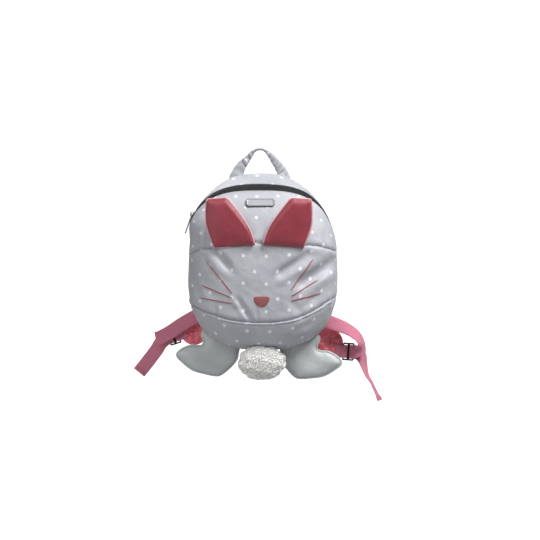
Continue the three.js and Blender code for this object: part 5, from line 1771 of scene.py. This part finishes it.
@dataclass
class ShoulderStrap:
    """Padded strap with its round end, ladder lock, tab and webbing."""

    facts: StrapSide
    pad_width: float = 37.0
    pad_thick: float = 7.0
    pad_edge: float = 3.0
    web_width: float = 20.0
    web_thick: float = 1.4
    hem: float = 7.0
    reach: float = 100.0
    slack: float = 12.0
    loop_reach: float = 72.0
    loop_drop: float = 36.0
    tail_reach: float = 47.0
    tail_drop: float = 71.0
    lock_length: float = 17.0
    lock_thick: float = 3.5
    lock_bar: float = 2.2
    lock_slot: float = 4.6
    standoff: float = 3.5
    ease_in: float = 2.3
    box: float = 7.5
    tab_width: float = 19.0
    tab_thick: float = 1.2

    @property
    def pad_rows(self) -> Array:
        """Middle line of the pad."""
        behind = FORM.back_face + FORM.sewn_gap + self.pad_thick / 2
        return np.array([(self.facts.side * p.x * self.reach, behind + p.bow * self.slack,
                          -FORM.handle_rise - p.z * FORM.height)
                         for p in (*PAD_TOP, *self.facts.pad_end)])

    def lock_frame(self) -> tuple[Array, Array, Array]:
        """Outward direction, width and middle of the buckle."""
        side = self.facts.side
        tilt, swing = math.radians(self.facts.tilt), math.radians(self.facts.swing)
        out = np.array([side * math.cos(tilt), 0, math.sin(tilt)])
        wide = np.array([-side * math.sin(tilt), 0, math.cos(tilt)])
        far = self.pad_width / 2 + self.standoff + self.lock_length / 2
        to_lock = np.array([side * math.cos(swing), 0, math.sin(swing)]) * far
        return out, wide, self.pad_rows[-1] + to_lock

    def pad(self) -> tuple[Draft, Draft, Draft]:
        """Pad, its piping and its stitching."""
        rows = self.pad_rows
        t = np.linspace(0, len(rows) - 1, 230)
        end = len(t) - 1
        middle = between(rows, t)
        share = np.ones(len(t))
        way = unit(middle[-1] - middle[-2])
        radius = self.pad_width / 2
        turn = np.radians(np.linspace(3, 86, 26))
        middle = np.concatenate([middle, middle[-1] + way * (np.sin(turn) * radius)[:, None]])
        share = np.concatenate([share, np.cos(turn)])
        along = unit(np.gradient(middle, axis=0))
        wide = unit(np.stack([-along[:, 2], np.zeros(len(middle)), along[:, 0]], -1))
        face = np.cross(wide, along)
        sides = 76
        a = math.tau * np.arange(sides) / sides
        c, s = np.cos(a), np.sin(a)
        plump = self.pad_edge + (self.pad_thick - self.pad_edge) * np.minimum(1, share * 1.2)
        run = run_of(middle)
        level = keep_sign(s, 0.55)
        half = (0.5 * plump)[:, None] * level
        points = middle[:, None] + wide[:, None] * ((radius * share)[:, None] * c)[..., None]
        star, wide_end, along_end = rows[-1], wide[end], along[end]
        u, v = ((points - star) @ axis for axis in (wide_end, along_end))
        r, theta = np.hypot(u, v), np.arctan2(v, u)
        groove = sum(bell(d / 1.41 / 1.3) for d in (u - v, u + v))
        box = bell((np.maximum(np.abs(u), np.abs(v)) - self.box) / 1.2)
        pinch = (1.1 * groove + 0.8) * ease((self.box + 3 - r) / 4) + 0.9 * box
        wrinkle = 0.7 * np.sin(theta * 8 + 1.5 * np.sin(r * 0.35)) * bell((r - 12) / 4)
        ripple = 0.25 * np.sin(run[:, None] * 0.5 + 2 * c) * np.abs(c) ** 3
        half = half - level * (pinch - wrinkle - ripple)
        net = points + face[:, None] * half[..., None]
        around = np.linspace(0, 2.2 * self.pad_width, sides + 1)
        pad, piping, thread = Draft(), Draft(), Draft()
        pad.add_grid(net, spread(around, run), wrap=True, caps=True)
        edges = [middle + wide * (radius * share)[:, None] * k for k in (1, -1)]
        rim = np.concatenate([edges[0], edges[1][::-1]])
        piping.add_tubes(rim, AFT, 1.3, sides=8)
        sewn = (share > 0.5) & (np.arange(len(share)) >= 4)
        above = self.pad_thick / 2 - 0.75
        for k in (1, -1):
            line = (middle + wide * ((radius * share - 4) * k)[:, None])[sewn]
            for away in (face[sewn], -face[sewn]):
                thread.add_stitches(line + above * away, away, length=2.6, pitch=3.6, radius=0.3)
        front_face = face[end] * (1 if face[end][1] < 0 else -1)
        sunk = self.pad_thick / 2 - 1.75
        for ends in (((-1, -1), (1, 1)), ((-1, 1), (1, -1)), ((-1, -1), (-1, 1)),
                     ((1, -1), (1, 1)), ((-1, 1), (1, 1)), ((-1, -1), (1, -1))):
            start, stop = (star + self.box * (m * wide_end + n * along_end) for m, n in ends)
            k = np.linspace(0, 1, 12)[:, None]
            for away in (front_face, -front_face):
                thread.add_stitches(start * (1 - k) + stop * k + away * sunk, away, length=2.2,
                                    pitch=3.0, radius=0.3)
        return pad, piping, thread

    def over_bar(self, way: int, thick: float, reach: float) -> list[tuple]:
        """Points round one bar of the buckle, from its front face to its rear face."""
        out, wide, middle = self.lock_frame()
        bar = middle + out * way * (self.lock_length - self.lock_bar) / 2
        clear = self.lock_thick / 2 + 1.3 * FORM.sewn_gap + thick / 2
        slot = (self.lock_slot + self.lock_bar) / 2
        far, edge = slot + self.ease_in, -self.lock_bar / 2 - thick / 4
        rows = ((reach, -clear), (0.6 * self.lock_bar, -clear), (edge, -clear),
                (-0.88 * far, -0.62 * clear), (-far, 0), (-0.88 * far, 0.62 * clear),
                (edge, clear), (0.6 * self.lock_bar, clear), (reach, 1.15 * clear))
        return [(*(bar + out * way * away + np.array([0, through, 0])), *wide)
                for away, through in rows]

    def ribbon(self, rows: Sequence, width: float, thick: float, fine: int,
               hem: float = 0.0) -> tuple[Draft, Array, Array, Array]:
        """Band along rows that give its middle and the direction of its width.

        Args:
            rows: Middle and width direction, six numbers a row.
            width: Width of the band.
            thick: Its thickness.
            fine: Sections from row to row.
            hem: Length of the doubled end.

        Returns:
            The draft, the middles, the width directions and the face directions.
        """
        table = np.array(rows)
        t = np.linspace(0, len(table) - 1, fine * (len(table) - 1) + 1)
        values = between(table, t)
        middle, wide = values[:, :3], unit(values[:, 3:])
        way = unit(np.gradient(middle, axis=0))
        side = unit(wide - way * (wide * way).sum(1, keepdims=True))
        face = np.cross(way, side)
        a = np.array([-1, -0.94, -0.5, 0, 0.5, 0.94, 1, 1, 0.94, 0.5, 0, -0.5, -0.94, -1])
        b = np.array([-0.5, -1, -1, -1, -1, -1, -0.5, 0.5, 1, 1, 1, 1, 1, 0.5])
        to_end = np.linalg.norm(middle - middle[-1], axis=1)
        half = np.where(to_end < hem, 1.8, 1.0) * thick / 2
        net = (middle[:, None] + side[:, None] * (a * width / 2)[:, None]
               + face[:, None] * (half[:, None] * b[None])[..., None])
        kept = [0]
        for k in range(1, len(net)):
            ahead = unit(way[k] + way[kept[-1]])
            if ((net[k] - net[kept[-1]]) @ ahead).min() > 0.1:
                kept.append(k)
        net, middle, side, face = net[kept], middle[kept], side[kept], face[kept]
        across = np.concatenate([a[:7] * width / 2, -a[7:] * width / 2 + width, [1.5 * width]])
        draft = Draft()
        draft.add_grid(net, spread(across, run_of(middle)), wrap=True, caps=True)
        return draft, middle, side, face

    def width_way(self, lean: float, turn: float) -> tuple[float, float, float]:
        """Direction of the webbing's width."""
        lean, turn = math.radians(lean), math.radians(turn)
        return (self.facts.side * math.sin(lean) * math.cos(turn), math.sin(turn),
                math.cos(lean) * math.cos(turn))

    def webbing(self) -> tuple[Draft, Draft]:
        """Webbing from its seam to its hemmed end, and the hem's stitches."""
        facts = self.facts
        middle = self.lock_frame()[2]
        behind = FORM.back_face + FORM.sewn_gap + self.web_thick / 2
        loop = [(facts.side * (facts.seam * FORM.half + r.out * self.loop_reach),
                 behind + r.back * self.web_width,
                 FORM.waist + facts.rise * FORM.belly_drop - r.down * self.loop_drop,
                 *self.width_way(r.lean, r.turn)) for r in facts.loop]
        bar = self.over_bar(1, self.web_thick, self.lock_bar * 1.4)
        free = [(middle[0] + facts.side * r.out * self.tail_reach,
                 middle[1] + r.back * self.web_width, middle[2] - r.down * self.tail_drop,
                 *self.width_way(r.lean, r.turn)) for r in facts.free]
        turned = [(*row[:3], *(facts.flip * w for w in row[3:])) for row in (*bar, *free)]
        draft, line, side, face = self.ribbon([*loop, *turned], self.web_width, self.web_thick, 7,
                                              self.hem)
        thread = Draft()
        to_end = np.linalg.norm(line - line[-1], axis=1)
        for far in (1.6, self.hem - 1.6, self.hem - 3.0):
            k = int(np.argmin(np.abs(to_end - far)))
            across = np.linspace(-0.46, 0.46, 12)[:, None] * self.web_width * side[k]
            for sign in (1, -1):
                thread.add_stitches(line[k] + across + sign * face[k] * self.web_thick * 0.95,
                                    sign * face[k], length=2.0, pitch=2.7, radius=0.28)
        return draft, thread

    def build(self, finishes: Finishes) -> None:
        """Build and dress the strap."""
        name = self.facts.name
        pad, piping, thread = self.pad()
        piece = add_piece(f"pad_{name}_cushion", pad, finishes.coral, [f"pad_{name}"])
        add_piece(f"pad_{name}_piping", piping, finishes.coral)
        add_piece(f"pad_{name}_stitching", thread, finishes.red_thread)
        tab_reach = self.lock_bar / 2 + self.standoff + self.pad_width / 5
        tab = self.ribbon(self.over_bar(-1, self.tab_thick, tab_reach), self.tab_width,
                          self.tab_thick, 6)[0]
        add_piece(f"tab_{name}_webbing", tab, finishes.webbing, [f"tab_{name}"])
        webbing, hem = self.webbing()
        add_piece(f"webbing_{name}_band", webbing, finishes.webbing,
                  [f"webbing_{name}"])
        add_piece(f"webbing_{name}_hem_stitching", hem, finishes.red_thread)
        self.lock(f"buckle_{name}", finishes.buckle)

    def lock(self, node: str, material: bpy.types.Material) -> None:
        """Ladder lock with rounded edges, over the solid's own shape."""
        piece = bpy.data.objects.new(f"{node}_frame", frame["nodes"][node].data.copy())
        piece.matrix_world = frame["nodes"][node].matrix_world
        piece.data.materials.clear()
        piece.data.materials.append(material)
        bpy.context.scene.collection.objects.link(piece)
        weld = piece.modifiers.new("weld", "WELD")
        weld.merge_threshold = 0.01 * MM
        bevel = piece.modifiers.new("rounded", "BEVEL")
        bevel.width, bevel.segments, bevel.limit_method = 0.45 * MM, 2, "ANGLE"
        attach(piece, BAG)
        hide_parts(node)


class Lamp(NamedTuple):
    """Soft square light: its place and size in metres, and its power in watts."""

    name: str
    x: float
    y: float
    z: float
    size: float
    watts: float


LAMPS = (
    Lamp("key", 1.3, -0.93, 1.91, 1.1, 84), Lamp("fill", -2.2, -2.1, 0.3, 1.6, 18),
    Lamp("front", -0.9, -2.2, 1.9, 1.2, 17), Lamp("back", -0.6, 1.4, 1.6, 1.2, 14),
)


@dataclass
class Studio:
    """Pale floor and backdrop, soft lights and the camera."""

    pixel: float = 1.45
    image: int = 540
    sensor: float = 36.0
    middle_x: float = 14.5
    middle_z: float = -173.3
    distance: float = 9000.0
    floor: float = -1500.0
    floor_reach: float = 6000.0
    backdrop: float = 10500.0
    backdrop_top: float = 3500.0
    backdrop_half: float = 2600.0
    bend: float = 700.0
    glow: float = 1.05
    sky: float = 0.15

    def camera(self) -> None:
        """Camera level with the bag, square to its front."""
        data = bpy.data.cameras.new("camera")
        data.sensor_width = self.sensor
        data.lens = self.sensor / self.image * self.distance / self.pixel
        data.clip_end = 50
        camera = bpy.data.objects.new("camera", data)
        camera.location = Vector((self.middle_x, -self.distance, self.middle_z)) * MM
        camera.rotation_euler = (math.pi / 2, 0, 0)
        bpy.context.scene.collection.objects.link(camera)
        bpy.context.scene.camera = camera

    def paper(self, name: str, rows: Sequence, wide: float, colour: str, glow: float) -> None:
        """Sheet of matt paper across the studio.

        Args:
            name: Name of the sheet.
            rows: Depth and height of each fold line, in millimetres.
            wide: Half its width.
            colour: Colour of the paper.
            glow: How brightly it is lit from behind.
        """
        points = [(x * MM, y * MM, z * MM) for y, z in rows for x in (-wide, wide)]
        faces = [(2 * k, 2 * k + 1, 2 * k + 3, 2 * k + 2) for k in range(len(rows) - 1)]
        mesh = bpy.data.meshes.new(name)
        mesh.from_pydata(points, [], faces)
        for polygon in mesh.polygons:
            polygon.use_smooth = True
        material, tree, place = new_material(f"{name}, matt")
        tooth = add_node(tree, "ShaderNodeTexNoise", {"Vector": place, "Scale": 300.0})
        bump = add_node(tree, "ShaderNodeBump", {"Height": tooth, "Strength": 0.02})
        mesh.materials.append(close_material(material, {
            "Base Color": linear(colour), "Normal": bump, "Roughness": 0.9,
            "Emission Color": (1, 1, 1, 1), "Emission Strength": glow}))
        sheet = bpy.data.objects.new(name, mesh)
        bpy.context.scene.collection.objects.link(sheet)

    def light(self, lamp: Lamp) -> None:
        """Set up a light and aim it at the bag."""
        data = bpy.data.lights.new(lamp.name, "AREA")
        data.shape, data.size, data.energy = "SQUARE", lamp.size, lamp.watts
        light = bpy.data.objects.new(lamp.name, data)
        light.location = lamp[1:4]
        aim = Vector((0, 0, FORM.waist * MM)) - light.location
        light.rotation_euler = aim.to_track_quat("-Z", "Y").to_euler()
        bpy.context.scene.collection.objects.link(light)

    def build(self) -> None:
        """Set up the studio."""
        self.camera()
        turn = np.linspace(0, math.pi / 2, 14)
        curve = [(self.backdrop + self.bend * (math.sin(t) - 1),
                  self.floor + self.bend * (1 - math.cos(t))) for t in turn]
        self.paper("floor_paper", [(-self.floor_reach, self.floor), curve[0]],
                   self.floor_reach, "#c8c8ca", 0.0)
        self.paper("backdrop_paper", [*curve, (self.backdrop, self.backdrop_top)],
                   self.backdrop_half, "#f6f6f7", self.glow)
        for lamp in LAMPS:
            self.light(lamp)
        world = bpy.data.worlds.new("studio")
        world.use_nodes = True
        sky = world.node_tree.nodes["Background"]
        sky.inputs[0].default_value = (1, 1, 1, 1)
        sky.inputs[1].default_value = self.sky
        bpy.context.scene.world = world
        bpy.context.scene.view_settings.view_transform = "Standard"


def main() -> None:
    """Build the bag and its studio, and log the faces of each dressed piece."""
    logging.basicConfig(level=logging.INFO)
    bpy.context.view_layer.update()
    finishes = Finishes()
    zip_opening = ZipOpening()
    zip_opening.build(finishes)
    DottedBody(zip_opening).build(finishes)
    GrabHandle().build(finishes)
    Ears().build(finishes)
    Feet().build(finishes)
    Pompom().build(finishes)
    FaceTrim().build(finishes)
    for facts in STRAPS:
        ShoulderStrap(facts).build(finishes)
    Studio().build()


if __name__ == "__main__":
    main()
